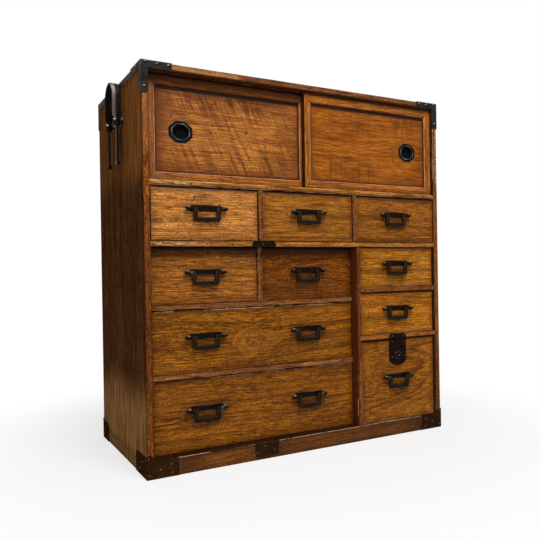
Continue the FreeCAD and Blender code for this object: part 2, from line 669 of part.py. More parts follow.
def frame_member(name, corners, profile_plane, near, towards):
    """One mitred member of a door frame, grooved for the panel and bevelled along its inner edge.

    corners is the mitred outline seen from the front. The hollows are drawn across the member:
    near is its inner edge, and towards is 1 where the panel lies on the increasing side of it.
    """
    body = body_of(name)
    outline_sketch = sketch(body, "XZ_Plane", f"{name}_outline")
    outline(outline_sketch, corners)
    pad(body, outline_sketch, "Dims.door_thick", reverse=True)
    back_from_edge = "-" if towards > 0 else "+"
    groove_end = f"{near} {back_from_edge} Dims.panel_housing"
    bevel_start = f"{near} {back_from_edge} Dims.bevel_width"
    panel_back = "Dims.panel_setback + Dims.panel_thick"
    bevel = [("0", bevel_start), ("0", near), ("Dims.bevel_depth", near)]
    groove = [("Dims.panel_setback", groove_end), (panel_back, groove_end), (panel_back, near),
              ("Dims.panel_setback", near)]
    if profile_plane == "XY_Plane":
        bevel, groove = ([(across, deep) for deep, across in shape] for shape in (bevel, groove))
    hollows = sketch(body, profile_plane, f"{name}_hollows")
    outline(hollows, bevel)
    outline(hollows, groove)
    pierce(body, hollows)
    return body


def with_tongue(body, name, low, high):
    """Adds the tongue that runs in a track, between two heights and as wide as the door."""
    drawing = sketch(body, "XZ_Plane", f"{name}_tongue", "(Layout.tongue_thick - Dims.door_thick) / 2")
    rectangle(drawing, ("0", "Layout.door_width"), (low, high))
    pad(body, drawing, "Layout.tongue_thick", reverse=True)


def mirrored_round(quarter):
    """A whole outline from the corners of its upper right quarter, anticlockwise from the right."""
    left = [(f"0 - ({x})", y) for x, y in reversed(quarter)]
    low_left = [(x, f"0 - ({y})") for x, y in reversed(left)]
    low_right = [(x, f"0 - ({y})") for x, y in reversed(quarter)]
    return quarter + left + low_left + low_right


def clipped(half_width, half_height, clip):
    """Corners of a rectangle about the origin whose corners are cut off."""
    return mirrored_round([(half_width, f"{half_height} - {clip}"), (f"{half_width} - {clip}", half_height)])


def finger_cup(body, name):
    """The outside of the cup, from the panel's face to its own floor."""
    cup = sketch(body, "XZ_Plane", f"{name}_cup")
    outline(cup, clipped("(Dims.cup_half_width + Dims.cup_wall)", "(Dims.cup_half_height + Dims.cup_wall)",
                         "Dims.cup_clip"))
    pad(body, cup, "Dims.cup_depth + Dims.cup_wall", reverse=True)


def finger_pull(name, x, z):
    """A lobed rim around a cup let into the door panel, and the room that the cup takes in the panel."""
    pull, room = body_of(name), body_of(f"{name}_room")
    for body in (pull, room):
        place(body, x, "Dims.panel_setback", z)
    rim = sketch(pull, "XZ_Plane", f"{name}_rim")
    outline(rim, mirrored_round([(f"Dims.finger_half_width * {across}", f"Dims.finger_half_height * {up}")
                                 for across, up in FINGER_RIM]))
    pad(pull, rim, "Dims.finger_rim_thick")
    finger_cup(pull, name)
    hollow = sketch(pull, "XZ_Plane", f"{name}_hollow", "Dims.finger_rim_thick")
    outline(hollow, clipped("Dims.cup_half_width", "Dims.cup_half_height", "Dims.cup_clip"))
    pocket(pull, hollow, "Dims.finger_rim_thick + Dims.cup_depth")
    finger_cup(room, f"{name}_room")
    return pull, room


def door(side, left_edge, track, finger_x):
    """A framed door in its track. Its own origin is the lower left corner of its face."""
    name = f"door_{side}"
    wide, member = "Layout.door_width", "Dims.member_width"
    tall = "(Layout.door_shoulder - Layout.door_base)"
    far_x, far_z = f"{wide} - {member}", f"{tall} - {member}"
    lower = frame_member(f"{name}_lower", [("0", "0"), (wide, "0"), (far_x, member), (member, member)],
                         "YZ_Plane", member, 1)
    upper = frame_member(f"{name}_upper", [(member, far_z), (far_x, far_z), (wide, tall), ("0", tall)],
                         "YZ_Plane", far_z, -1)
    near_stile = frame_member(f"{name}_left", [("0", "0"), (member, member), (member, far_z), ("0", tall)],
                              "XY_Plane", member, 1)
    far_stile = frame_member(f"{name}_right", [(wide, "0"), (wide, tall), (far_x, far_z), (far_x, member)],
                             "XY_Plane", far_x, -1)
    with_tongue(lower, f"{name}_lower", "0 - Dims.sill_groove_depth", "0")
    with_tongue(upper, f"{name}_upper", tall, f"{tall} + Dims.top_tongue")
    pull, room = finger_pull(f"{name}_finger_pull", finger_x, f"{tall} / 2 - Dims.finger_drop")
    housing = f"{member} - Dims.panel_housing"
    panel = board(f"{name}_panel_blank", (housing, f"{wide} - ({housing})"),
                  ("Dims.panel_setback", "Dims.panel_setback + Dims.panel_thick"),
                  (housing, f"{tall} - ({housing})"))
    leaf = together(f"{name}_leaf", [lower, upper, near_stile, far_stile,
                                     cut(f"{name}_panel", panel, [room])])
    corner = (left_edge, f"Layout.{track} - Dims.door_thick / 2", "Layout.door_base")
    keep(name, place(leaf, *corner))
    keep(f"finger_pull_{side}", place(together(f"{name}_pull_group", [pull]), *corner))


door("left", "Layout.inner_left + Dims.door_gap", "rear_track", "Dims.finger_across")
door("right", "Layout.inner_right - Dims.door_gap - Layout.door_width", "front_track",
     "Layout.door_width - Dims.finger_across")


# ---------------------------------------------------------------------------------------------
# Pole loops: an inverted U of strap on each side, whose two rods slide in eyes on the side board
# ---------------------------------------------------------------------------------------------
def pole_loop():
    """Strap bent over a half circle, narrowed at its feet to two rods with buttons."""
    body = body_of("pole_loop")
    place(body, "Layout.left - Dims.loop_out", "0", "0")
    outer = "(Dims.loop_legs + Dims.loop_strap_thick) / 2"
    inner = "(Dims.loop_legs - Dims.loop_strap_thick) / 2"
    spring = f"Layout.loop_shoulder + Dims.loop_height - {outer}"
    foot = "Layout.loop_shoulder + Dims.loop_taper"
    strap = sketch(body, "YZ_Plane", "pole_loop_strap", "0 - Dims.loop_strap_width / 2")
    outline(strap, [
        (outer, foot), (outer, spring), (f"0 - {outer}", spring), (f"0 - {outer}", foot),
        (f"0 - {inner}", foot), (f"0 - {inner}", spring), (inner, spring), (inner, foot),
    ], {1: ("Y", spring, 1), 5: ("Y", spring, -1)})
    pad(body, strap, "Dims.loop_strap_width")
    for number, sign in enumerate(("0 - ", "")):
        across = f"{sign}Dims.loop_legs / 2"
        taper = sketch(body, "XZ_Plane", f"pole_loop_taper_{number}",
                       f"0 - ({across} + Dims.loop_strap_thick / 2)")
        half = "Dims.loop_strap_width / 2"
        outline(taper, [(f"0 - {half}", foot), ("0 - Dims.rod_radius", "Layout.loop_shoulder"),
                        ("Dims.rod_radius", "Layout.loop_shoulder"), (half, foot)])
        pad(body, taper, "Dims.loop_strap_thick")
        leg = sketch(body, "YZ_Plane", f"pole_loop_rod_{number}")
        leg.setExpression("AttachmentOffset.Base.x", across)
        button = [(f"Dims.button_radius * {out}", f"Layout.rod_foot + Dims.button_height * {up}")
                  for up, out in BUTTON]
        rod_top = "Layout.loop_shoulder + Dims.rod_radius"
        outline(leg, [("0", "Layout.rod_foot"), *button,
                      ("Dims.rod_radius", "Layout.rod_foot + Dims.button_height"),
                      ("Dims.rod_radius", rod_top), ("0", rod_top)])
        revolution(body, leg, "V_Axis")
    return body


def loop_eye():
    """Eye and washer on the left side board: a ring around the rod, and legs spread inside the board.

    Its own origin is on the board's outer face, level with the middle of the ring.
    """
    ring = rod("loop_ring", "Dims.eye_ring_radius", "Dims.eye_ring_height",
               "0 - Dims.loop_out", "0", "0 - Dims.eye_ring_height / 2")
    through = "Dims.side_thick + Dims.spread_thick"
    shank = board("loop_shank", ("0 - Dims.loop_out", through), ("0 - Dims.shank_half", "Dims.shank_half"),
                  ("0 - Dims.shank_half / 2", "Dims.shank_half / 2"))
    spread = board("loop_spread", ("Dims.side_thick", through), ("0 - Dims.shank_half", "Dims.shank_half"),
                   ("0 - Dims.washer_radius", "Dims.washer_radius"))
    bore = rod("loop_bore", "Dims.rod_radius + Dims.rod_gap", "Dims.eye_ring_height",
               "0 - Dims.loop_out", "0", "0 - Dims.eye_ring_height / 2")
    eye = cut("loop_eye", fused("loop_eye_forging", [ring, shank, spread]), [bore])
    disc = body_of("loop_washer_disc")
    rim = sketch(disc, "YZ_Plane", "loop_washer_outline")
    circle(rim, "0", "0", "Dims.washer_radius")
    pad(disc, rim, "Dims.washer_thick", reverse=True)
    return together("loop_eye_and_washer", [eye, cut("loop_washer", disc, [eye])])


left_loop = pole_loop()
keep("pole_loop_left", together("pole_loop_left_group", [left_loop]))
keep("pole_loop_right", mirrored("pole_loop_right_mirrored", left_loop, x=1))
eye_pattern_left = loop_eye()
eye_level = "Layout.loop_shoulder - Dims.rest_gap - Dims.eye_ring_height / 2"
left_eyes = together("loop_eyes_left", [
    place(together(f"loop_eye_{where}", [eye_pattern_left]),
          "Layout.left", f"{sign} * Dims.loop_legs / 2", eye_level)
    for where, sign in (("front", -1), ("back", 1))])
right_eyes = mirrored("loop_eyes_right", left_eyes, x=1)
keep("pole_loop_eyes", together("pole_loop_eyes_group", [left_eyes, right_eyes]))


# ---------------------------------------------------------------------------------------------
# Case
# ---------------------------------------------------------------------------------------------
def shelf(name, left, right, front, low, high):
    """A shelf housed into the uprights at both ends, from its front edge to the back boards."""
    return board(name, (f"Layout.{left} - Dims.let_in", f"Layout.{right} + Dims.let_in"),
                 (front, "Layout.inside_back"), (low, high))


def upright(name, left, right, front, low, high):
    """An upright board from its front edge to the back boards."""
    return board(name, (left, right), (front, "Layout.inside_back"), (low, high))


def track(name, line, low, high):
    """Room for one track groove, as long as the cupboard is wide."""
    return board(name, ("Layout.inner_left", "Layout.inner_right"),
                 (f"Layout.{line} - Dims.groove_width / 2", f"Layout.{line} + Dims.groove_width / 2"),
                 (low, high))


tracks = ("front_track", "rear_track")
lid = board("top_blank", ("Layout.left", "Layout.right"), ("Layout.front", "Layout.back"),
            ("Layout.ceiling", "Dims.height"))
keep("case_top", cut("top_grooved", lid, [
    track(f"upper_{line}", line, "Layout.ceiling", "Layout.ceiling + Dims.top_groove_depth")
    for line in tracks]))

sill_blank = shelf("sill_blank", "inner_left", "inner_right", "Layout.front",
                   "Layout.row_top", "Layout.sill_top")
keep("door_sill", cut("sill_grooved", sill_blank, [
    track(f"lower_{line}", line, "Layout.sill_top - Dims.sill_groove_depth", "Layout.sill_top")
    for line in tracks]))

middle_shelf = shelf("middle_shelf", "inner_left", "inner_right", "Layout.front",
                     "Dims.middle_level", "Layout.row_floor")
block_shelves = [
    shelf("block_shelf_low", "inner_left", "partition_left", "Layout.block_front",
          "Layout.low_wide_top", "Layout.high_wide_floor"),
    shelf("block_shelf_high", "inner_left", "partition_left", "Layout.block_front",
          "Layout.high_wide_top", "Layout.small_floor")]
lock_shelf = cut("lock_shelf", shelf("lock_shelf_blank", "column_left", "inner_right", "Layout.front",
                                     "Layout.lock_top", "Layout.column_low_floor"), [strike_pocket])
column_shelf = shelf("column_shelf", "column_left", "inner_right", "Layout.front",
                     "Layout.column_low_top", "Layout.column_high_floor")
column_shelves = [lock_shelf, column_shelf]
keep("shelves", together("shelf_group", [middle_shelf] + block_shelves + column_shelves))

partition = cut("partition", upright("partition_blank", "Layout.partition_left", "Layout.column_left",
                                     "Layout.front", "Dims.rail_height", "Dims.middle_level"),
                block_shelves + column_shelves)
guide = cut("column_guide", upright("guide_blank", "Layout.column_right", "Layout.inner_right",
                                    "Layout.front + Dims.guide_setback", "Dims.rail_height",
                                    "Dims.middle_level"), column_shelves)
dividers = [
    upright("row_divider_left", "Layout.row_left_end", "Layout.row_middle_start", "Layout.front",
            "Layout.row_floor", "Layout.row_top"),
    upright("row_divider_right", "Layout.row_middle_end", "Layout.row_right_start", "Layout.front",
            "Layout.row_floor", "Layout.row_top"),
    upright("small_divider", "Layout.small_left_end", "Layout.small_right_start", "Layout.block_front",
            "Layout.small_floor", "Dims.middle_level")]
keep("partitions", together("partition_group", [partition, guide] + dividers))

behind_rail = "Layout.front + Dims.rail_thick"
bottom_board = shelf("bottom_board", "inner_left", "inner_right", behind_rail,
                     "Dims.skirt_height", "Dims.rail_height")
back_skirt_front = "Layout.back - Dims.side_thick"
keep("case_base", together("base_group", [
    board("front_rail", ("Layout.left", "Layout.right"), ("Layout.front", behind_rail),
          ("0", "Dims.rail_height")),
    board("left_skirt", ("Layout.left", "Layout.inner_left"), (behind_rail, "Layout.back"),
          ("0", "Dims.skirt_height")),
    board("right_skirt", ("Layout.inner_right", "Layout.right"), (behind_rail, "Layout.back"),
          ("0", "Dims.skirt_height")),
    board("back_skirt", ("Layout.inner_left", "Layout.inner_right"), (back_skirt_front, "Layout.back"),
          ("0", "Dims.skirt_height")),
    bottom_board]))

board_count = int(value("Dims.back_boards"))
seams = [f"Dims.skirt_height + {number} * (Layout.ceiling - Dims.skirt_height) / {board_count}"
         for number in range(board_count + 1)]
back_boards = [board(f"back_board_{number}",
                     ("Layout.inner_left - Dims.let_in", "Layout.inner_right + Dims.let_in"),
                     ("Layout.inside_back", "Layout.back"), seam)
               for number, seam in enumerate(zip(seams, seams[1:]), start=1)]
keep("case_back", together("back_group", back_boards))


def side_board(name, inner_face, housed):
    """A side board that stands on the base and steps over the front rail, with room for what it carries."""
    body = body_of(f"{name}_blank")
    place(body, inner_face)
    drawing = sketch(body, "YZ_Plane", f"{name}_outline")
    outline(drawing, [
        (behind_rail, "Dims.skirt_height"), ("Layout.back", "Dims.skirt_height"),
        ("Layout.back", "Layout.ceiling"), ("Layout.front", "Layout.ceiling"),
        ("Layout.front", "Dims.rail_height"), (behind_rail, "Dims.rail_height"),
    ])
    pad(body, drawing, "Dims.side_thick")
    return cut(name, body, housed)


across_chest = [sill_blank, middle_shelf, bottom_board] + back_boards
keep("case_side_left", side_board("left_board", "Layout.left", across_chest + block_shelves + [left_eyes]))
keep("case_side_right", side_board("right_board", "Layout.inner_right",
                                   across_chest + column_shelves + [right_eyes]))


# ---------------------------------------------------------------------------------------------
# Irons nailed to the case
# ---------------------------------------------------------------------------------------------
def corner_iron(name, x, y, z, front, side, top=None):
    """An iron folded round a corner of the case: one flat on the front, one on the side, one on top.

    Its own origin is the corner of the wood, at the left and the front.
    """
    body = body_of(name)
    place(body, x, y, z)
    for plane, corners in (("XZ_Plane", front), ("YZ_Plane", side), ("XY_Plane", top)):
        if corners:
            drawing = sketch(body, plane, f"{name}_{plane[:2]}")
            outline(drawing, corners)
            pad(body, drawing, "Dims.iron_thick", reverse=plane == "YZ_Plane")
    return body


fold, clip = "0 - Dims.iron_thick", "Dims.iron_clip"


def hanging_arms(across):
    """An L with one arm along the top edge and one down the upright edge, clipped at both ends."""
    arm, down = "Dims.top_arm_width", "Dims.top_arm_down"
    return [(fold, "Dims.iron_thick"), (fold, f"0 - {down}"), (f"{arm} - {clip}", f"0 - {down}"),
            (arm, f"{clip} - {down}"), (arm, f"0 - {arm}"), (f"{across} - {clip}", f"0 - {arm}"),
            (across, f"{clip} - {arm}"), (across, "Dims.iron_thick")]


def lying_arms(across, deep):
    """An L on the top board."""
    arm = "Dims.top_arm_width"
    return [(fold, fold), (across, fold), (across, f"{arm} - {clip}"), (f"{across} - {clip}", arm),
            (arm, arm), (arm, f"{deep} - {clip}"), (f"{arm} - {clip}", deep), (fold, deep)]


def standing_foot(across, height, post_width, post_height):
    """A shoe along the rail with a short arm up the upright edge."""
    return [(fold, "0"), (across, "0"), (across, f"{height} - {clip}"), (f"{across} - {clip}", height),
            (post_width, height), (post_width, f"{post_height} - {clip}"),
            (f"{post_width} - {clip}", post_height), (fold, post_height)]


def side_foot(deep):
    """A plate low on the side, its far upper corner cut off."""
    height = "Dims.foot_side_height"
    return [(fold, "0"), (deep, "0"), (deep, f"{height} - 2 * {clip}"), (f"{deep} - 2 * {clip}", height),
            (fold, height)]


def strike_plate(name, x, low, high, half, clip_at):
    """A flat plate on the front of a rail, two of its corners cut off, above or below."""
    body = body_of(name)
    place(body, x, "Layout.front", low)
    tall, narrow = f"({high}) - ({low})", f"{half} - {clip}"
    foot = [(f"0 - {half}", "0"), (half, "0")]
    head = [(half, tall), (f"0 - {half}", tall)]
    if clip_at == "head":
        head = [(half, f"{tall} - {clip}"), (narrow, tall), (f"0 - ({narrow})", tall),
                (f"0 - {half}", f"{tall} - {clip}")]
    else:
        foot = [(f"0 - {half}", clip), (f"0 - ({narrow})", "0"), (narrow, "0"), (half, clip)]
    drawing = sketch(body, "XZ_Plane", f"{name}_outline")
    outline(drawing, foot + head)
    pad(body, drawing, "Dims.iron_thick")
    return body


upper_iron = corner_iron("upper_iron", "Layout.left", "Layout.front", "Dims.height",
                         hanging_arms("Dims.top_arm_across"), hanging_arms("Dims.top_arm_deep"),
                         lying_arms("Dims.top_arm_across", "Dims.top_arm_deep"))
foot_arm = ("Dims.foot_post_width", "Dims.foot_post_height")
front_foot = corner_iron("front_foot", "Layout.left", "Layout.front", "0",
                         standing_foot("Dims.foot_across", "Dims.rail_height", *foot_arm),
                         side_foot("Dims.foot_deep"))
rear_foot = corner_iron("rear_foot", "Layout.left", "Layout.front", "0",
                        standing_foot("Dims.foot_deep_back", "Dims.rail_height", *foot_arm),
                        side_foot("Dims.foot_deep_back"))
left_irons = together("left_irons", [upper_iron, front_foot, mirrored("upper_iron_back", upper_iron, y=1),
                                     mirrored("rear_foot_back", rear_foot, y=1)])
block_plates = "Layout.left + Dims.strike_plate_across"
keep("case_irons", together("iron_group", [
    left_irons, mirrored("right_irons", left_irons, x=1),
    strike_plate("shelf_plate", block_plates, "Dims.middle_level", "Layout.row_floor",
                 "Dims.strike_plate_half", "head"),
    strike_plate("rail_plate", block_plates, "Dims.rail_plate_low", "Dims.rail_height",
                 "Dims.strike_plate_half", "foot"),
    strike_plate("lock_strike", "Layout.lock_middle", "Layout.lock_top", "Layout.column_low_floor",
                 "Dims.lock_strike_half", "head")]))


# ---------------------------------------------------------------------------------------------
# Recompute, look for anything that failed, and write each piece to its own file
# ---------------------------------------------------------------------------------------------
doc.recompute()
failed = [item.Name for item in doc.Objects if {"Invalid", "Error"} & set(item.State)]
if failed:
    raise RuntimeError(f"these objects failed: {failed}")
for name, piece in nodes.items():
    if piece.Shape.isNull() or not piece.Shape.isValid() or piece.Shape.Volume <= 0:
        raise RuntimeError(f"{name} has no sound shape")

os.makedirs("parts", exist_ok=True)
for name, piece in nodes.items():
    piece.Shape.exportStep(f"parts/{name}.step")
print(f"{len(nodes)} pieces written")
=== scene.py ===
"""The looks of a chest of ten drawers under a cupboard with two sliding doors.

Metres, in the frame of the solids: X across the chest, Y from its front (-Y) to its back, Z up.
Boards and flat irons are copies of their solids with the arrises rounded. The bails and the finger
pulls are worked out here in the place of their solids, and so are the nails' heads and the rosette of
the lock, which are added. These forms are in millimetres until they are placed.
"""
import zlib

import bmesh
import bpy
import numpy as np
from mathutils import Matrix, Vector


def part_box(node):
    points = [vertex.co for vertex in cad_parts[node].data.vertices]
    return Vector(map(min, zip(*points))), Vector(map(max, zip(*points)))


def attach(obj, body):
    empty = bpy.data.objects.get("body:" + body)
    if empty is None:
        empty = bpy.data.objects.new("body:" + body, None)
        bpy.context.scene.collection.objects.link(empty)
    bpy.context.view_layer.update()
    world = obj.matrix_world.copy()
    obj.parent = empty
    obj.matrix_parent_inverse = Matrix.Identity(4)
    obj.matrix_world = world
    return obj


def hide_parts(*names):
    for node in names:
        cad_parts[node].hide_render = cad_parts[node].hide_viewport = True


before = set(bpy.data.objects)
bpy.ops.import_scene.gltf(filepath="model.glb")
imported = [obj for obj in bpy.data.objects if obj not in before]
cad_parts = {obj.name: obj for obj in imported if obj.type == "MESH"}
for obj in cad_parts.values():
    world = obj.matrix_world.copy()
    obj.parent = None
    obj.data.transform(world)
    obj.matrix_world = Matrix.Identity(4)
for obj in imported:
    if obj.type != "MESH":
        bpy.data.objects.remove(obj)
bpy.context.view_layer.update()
MM = 0.001
FRONT, SET_BACK = -0.19, -0.17          # y of the chest's front, and of the fronts that are set back
HALF_WIDTH, HALF_DEPTH, HEIGHT = 400, 190, 858      # of the case's boards, in millimetres
IRON = 1.6                              # how far the case's irons stand out from its boards
NEAR_FRONT = -0.16                      # level faces before this y look out of the chest's front


# ------------------------------------------------------------------------------------------
# Meshes. A form is its places, the corners of all its faces in turn, and each face's count of corners.
# ------------------------------------------------------------------------------------------
def solids(node):
    """The separate solids of a CAD node, each as its corners and triangles.

    Corners that share a place are joined. The triangles come solid by solid, and every edge belongs to
    two triangles of one solid, so a solid ends where no edge still waits for its second triangle.
    """
    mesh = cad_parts[node].data
    places = np.empty(len(mesh.vertices) * 3, np.float32)
    mesh.vertices.foreach_get("co", places)
    mesh.calc_loop_triangles()
    triangles = np.empty(len(mesh.loop_triangles) * 3, np.int32)
    mesh.loop_triangles.foreach_get("vertices", triangles)
    _, first, same = np.unique(np.round(places.reshape(-1, 3) / 1e-6).astype(np.int64), axis=0,
                               return_index=True, return_inverse=True)
    corners = places.reshape(-1, 3)[first].astype(float)
    triangles = same.ravel()[triangles].reshape(-1, 3)
    triangles = triangles[(triangles != np.roll(triangles, 1, axis=1)).all(axis=1)]
    start, end = triangles.ravel(), np.roll(triangles, -1, axis=1).ravel()
    owner = np.repeat(np.arange(len(triangles)), 3)
    edge = np.minimum(start, end) * len(first) + np.maximum(start, end)
    order = [np.flatnonzero(way)[np.argsort(edge[way], kind="stable")] for way in (start < end, start > end)]
    pair = np.stack([owner[order[0]], owner[order[1]]])
    waiting = np.zeros(len(triangles) + 1, int)
    np.add.at(waiting, pair.min(axis=0), 1)
    np.add.at(waiting, pair.max(axis=0), -1)
    found = []
    for own in np.split(triangles, np.flatnonzero(np.cumsum(waiting)[:-1] == 0)[:-1] + 1):
        members, renumbered = np.unique(own, return_inverse=True)
        found.append((corners[members], renumbered.reshape(-1, 3)))
    return found


def box_in_mm(node):
    """The low and the high corner of a CAD node's box, in millimetres."""
    return np.array([list(corner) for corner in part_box(node)]) / MM


def form_of(places, *groups):
    """A form from its places and groups of faces, each an array with a row of corners for each face."""
    return (places, np.concatenate([group.ravel() for group in groups]),
            np.concatenate([np.full(len(group), group.shape[1]) for group in groups]))


def form_from(mesh):
    """The form of a mesh."""
    places = np.empty(len(mesh.vertices) * 3, np.float32)
    corners, counts = np.empty(len(mesh.loops), np.int32), np.empty(len(mesh.polygons), np.int32)
    mesh.vertices.foreach_get("co", places)
    mesh.loops.foreach_get("vertex_index", corners)
    mesh.polygons.foreach_get("loop_total", counts)
    return places.reshape(-1, 3).astype(float), corners, counts


def new_mesh(name, form):
    """A mesh of a form. Its edges are numbered as the corners of its faces come to them in turn."""
    places, corners, counts = form
    starts = np.cumsum(counts) - counts
    before = np.arange(len(corners)) - 1
    before[starts] = starts + counts - 1
    ends = np.stack([corners[before], corners], axis=1)
    _, first, same = np.unique(ends.min(axis=1) * len(places) + ends.max(axis=1), return_index=True,
                               return_inverse=True)
    onward = np.empty(len(corners), int)
    onward[before] = np.argsort(np.argsort(first))[same]
    mesh = bpy.data.meshes.new(name)
    for items, number in ((mesh.vertices, len(places)), (mesh.edges, len(first)), (mesh.loops, len(corners)),
                          (mesh.polygons, len(counts))):
        items.add(number)
    mesh.vertices.foreach_set("co", places.astype(np.float32).ravel())
    mesh.edges.foreach_set("vertices", ends[np.sort(first)].astype(np.int32).ravel())
    mesh.loops.foreach_set("vertex_index", corners.astype(np.int32))
    mesh.loops.foreach_set("edge_index", onward.astype(np.int32))
    mesh.polygons.foreach_set("loop_start", starts.astype(np.int32))
    mesh.update()
    return mesh


def eased(corners, triangles, radius):
    """A solid as a form, with every arris sharper than 30 degrees rounded off to the radius."""
    mesh = new_mesh("solid", form_of(corners, triangles))
    work = bmesh.new()
    work.from_mesh(mesh)
    sharp = [edge for edge in work.edges if edge.is_manifold and edge.calc_face_angle() > np.radians(30)]
    bmesh.ops.bevel(work, geom=sharp, offset=radius, segments=2, profile=0.5, affect="EDGES",
                    clamp_overlap=False)
    work.to_mesh(mesh)
    work.free()
    form = form_from(mesh)
    bpy.data.meshes.remove(mesh)
    return form


def grid_faces(rows, columns, close_rows=False):
    """Four-sided faces between neighbours of a grid that is closed in its columns and whose points are
    numbered row by row."""
    row, column = np.meshgrid(np.arange(rows if close_rows else rows - 1), np.arange(columns), indexing="ij")
    next_row, next_column = (row + 1) % rows, (column + 1) % columns
    return np.stack([row * columns + column, row * columns + next_column,
                     next_row * columns + next_column, next_row * columns + column], axis=-1).reshape(-1, 4)


def tube(places, rings, around):
    """A closed tube: the grid between its rings, and one flat face over each end."""
    ring = np.arange(around)
    return form_of(places.reshape(-1, 3), grid_faces(rings, around),
                   np.stack([ring[::-1], ring + (rings - 1) * around]))


def smooth_line(points, count):
    """A curve of count places through the points: between two of them it is the cubic whose slope at
    each point is that of the chord between the point's neighbours."""
    points = np.array(points, float)
    slopes = np.gradient(points, axis=0)
    run = np.linspace(0, len(points) - 1, count)
    start = np.minimum(run.astype(int), len(points) - 2)
    part = (run - start)[:, None]
    last, square, cube = start + 1, part ** 2, part ** 3
    return ((2 * cube - 3 * square + 1) * points[start] + (cube - 2 * square + part) * slopes[start]
            + (3 * square - 2 * cube) * points[last] + (cube - square) * slopes[last])


def turned(profile, centre, axis, around):
    """A closed turned form: each (height, radius) of the profile, carried round the axis. The first
    and the last radius are nothing."""
    axis, profile = np.array(axis, float), np.array(profile, float)
    side = np.roll(axis, 1)
    angle = np.linspace(0, 2 * np.pi, around, endpoint=False)[:, None]
    circle = np.cos(angle) * side + np.sin(angle) * np.cross(axis, side)
    rings = profile[1:-1, :1, None] * axis + profile[1:-1, 1:, None] * circle
    places = np.concatenate([rings.reshape(-1, 3), profile[[0, -1], :1] * axis]) + centre
    step, last, tip = np.arange(around), (len(profile) - 3) * around, np.full(around, len(places) - 1)
    onward = np.roll(step, -1)
    return form_of(places, grid_faces(len(profile) - 2, around), np.stack([onward, step, tip - 1], axis=1),
                   np.stack([last + step, last + onward, tip], axis=1))


def mirrored(form):
    """The same form on the other side of x = 0."""
    places, corners, counts = form
    return places * (-1, 1, 1), corners[::-1], counts[::-1]


def joined(forms):
    """Several forms as one."""
    places, corners, counts = zip(*forms)
    starts = np.cumsum([0] + [len(own) for own in places[:-1]])
    return (np.concatenate(places), np.concatenate([own + start for own, start in zip(corners, starts)]),
            np.concatenate(counts))


def facing_out(mesh):
    """Turns every face outwards."""
    work = bmesh.new()
    work.from_mesh(mesh)
    bmesh.ops.recalc_face_normals(work, faces=work.faces)
    work.to_mesh(mesh)
    work.free()


def set_attribute(mesh, name, values):
    """Gives each point of the mesh a number, or a vector, that its material can read."""
    kind, key = ("FLOAT_VECTOR", "vector") if values.ndim == 2 else ("FLOAT", "value")
    mesh.attributes.new(name, kind, "POINT").data.foreach_set(key, values.astype(np.float32).ravel())


def flat_sides_kept(mesh):
    """Smooth shading in which wide faces stay flat: each corner's normal is the sum of its faces'
    normals, each weighted by the face's area."""
    _, corners, counts = form_from(mesh)
    facing, area = np.empty(len(counts) * 3, np.float32), np.empty(len(counts), np.float32)
    mesh.polygons.foreach_get("normal", facing)
    mesh.polygons.foreach_get("area", area)
    normals = np.zeros((len(mesh.vertices), 3))
    weighted = facing.reshape(-1, 3) * area[:, None].astype(float)
    np.add.at(normals, corners, np.repeat(weighted, counts, axis=0))
    lengths = np.linalg.norm(normals, axis=1, keepdims=True)
    mesh.shade_smooth()
    mesh.normals_split_custom_set_from_vertices(normals / np.maximum(lengths, 1e-12))


def piece(name, form, body, materials, replaces=(), attributes=None, choice=None):
    """A new object that rides on a body. choice gives the number of each face's material, for a piece
    whose wide faces stay flat."""
    mesh = new_mesh(name, form)
    for title, values in (attributes or {}).items():
        set_attribute(mesh, title, values)
    for material in materials:
        mesh.materials.append(material)
    if choice is not None:
        mesh.polygons.foreach_set("material_index", choice.astype(np.int32))
    facing_out(mesh)
    if choice is not None:
        flat_sides_kept(mesh)
    else:
        mesh.shade_smooth()
    made = bpy.data.objects.new(name, mesh)
    bpy.context.scene.collection.objects.link(made)
    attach(made, body)
    if replaces:
        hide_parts(*replaces)


def board_marks(places, order, chance):
    """What a board's finish needs: place along, across and through the board, how far each point is
    from the board's two ends in those three directions, and a number of the board's own.

    order is the world's axis for each of the three directions.
    """
    low, high = places.min(axis=0)[order], places.max(axis=0)[order]
    laid = places[:, order]
    shift = np.array([chance.uniform(-9, 9), chance.uniform(-.06, .06), 0])
    return {"grain": laid - (low + high) / 2 + shift, "from_low": laid - low, "from_high": high - laid,
            "board": np.full(len(places), chance.uniform(0, 1))}


def iron_marks(places, order, chance):
    """How far each point of an iron is from its two ends along each axis. It is given what board_marks
    is given, and needs no more than the places."""
    return {"from_low": places - places.min(axis=0), "from_high": places.max(axis=0) - places}


def copied(node, kind, pick, arris, body, marks, front=None):
    """A CAD node again, with its arrises rounded and the marks that its finish reads.

    pick is one material, or gives a solid's material from its number. Faces of the case that look to
    the front take the material front instead, if there is one. The grain runs along each board's
    longest side.
    """
    chance = np.random.default_rng(zlib.crc32(node.encode()))
    found = solids(node)
    wanted = [pick(number) if callable(pick) else pick for number in range(len(found))]
    used = list(dict.fromkeys(wanted + [front] * (front is not None)))
    forms, gathered, choice = [], [], []
    for (solid, triangles), material in zip(found, wanted):
        places, corners, counts = form = eased(solid, triangles, arris)
        chosen = np.full(len(counts), used.index(material))
        if front is not None:
            starts, y = np.cumsum(counts) - counts, places[corners, 1]
            level = np.maximum.reduceat(y, starts) - np.minimum.reduceat(y, starts) < 1e-5
            chosen[level & (y[starts] < NEAR_FRONT)] = used.index(front)
        forms.append(form)
        gathered.append(marks(places, np.argsort(-np.ptp(solid, axis=0)), chance))
        choice.append(chosen)
    attributes = {title: np.concatenate([own[title] for own in gathered]) for title in gathered[0]}
    piece(f"{node}_{kind}", joined(forms), body, used, [node], attributes, np.concatenate(choice))


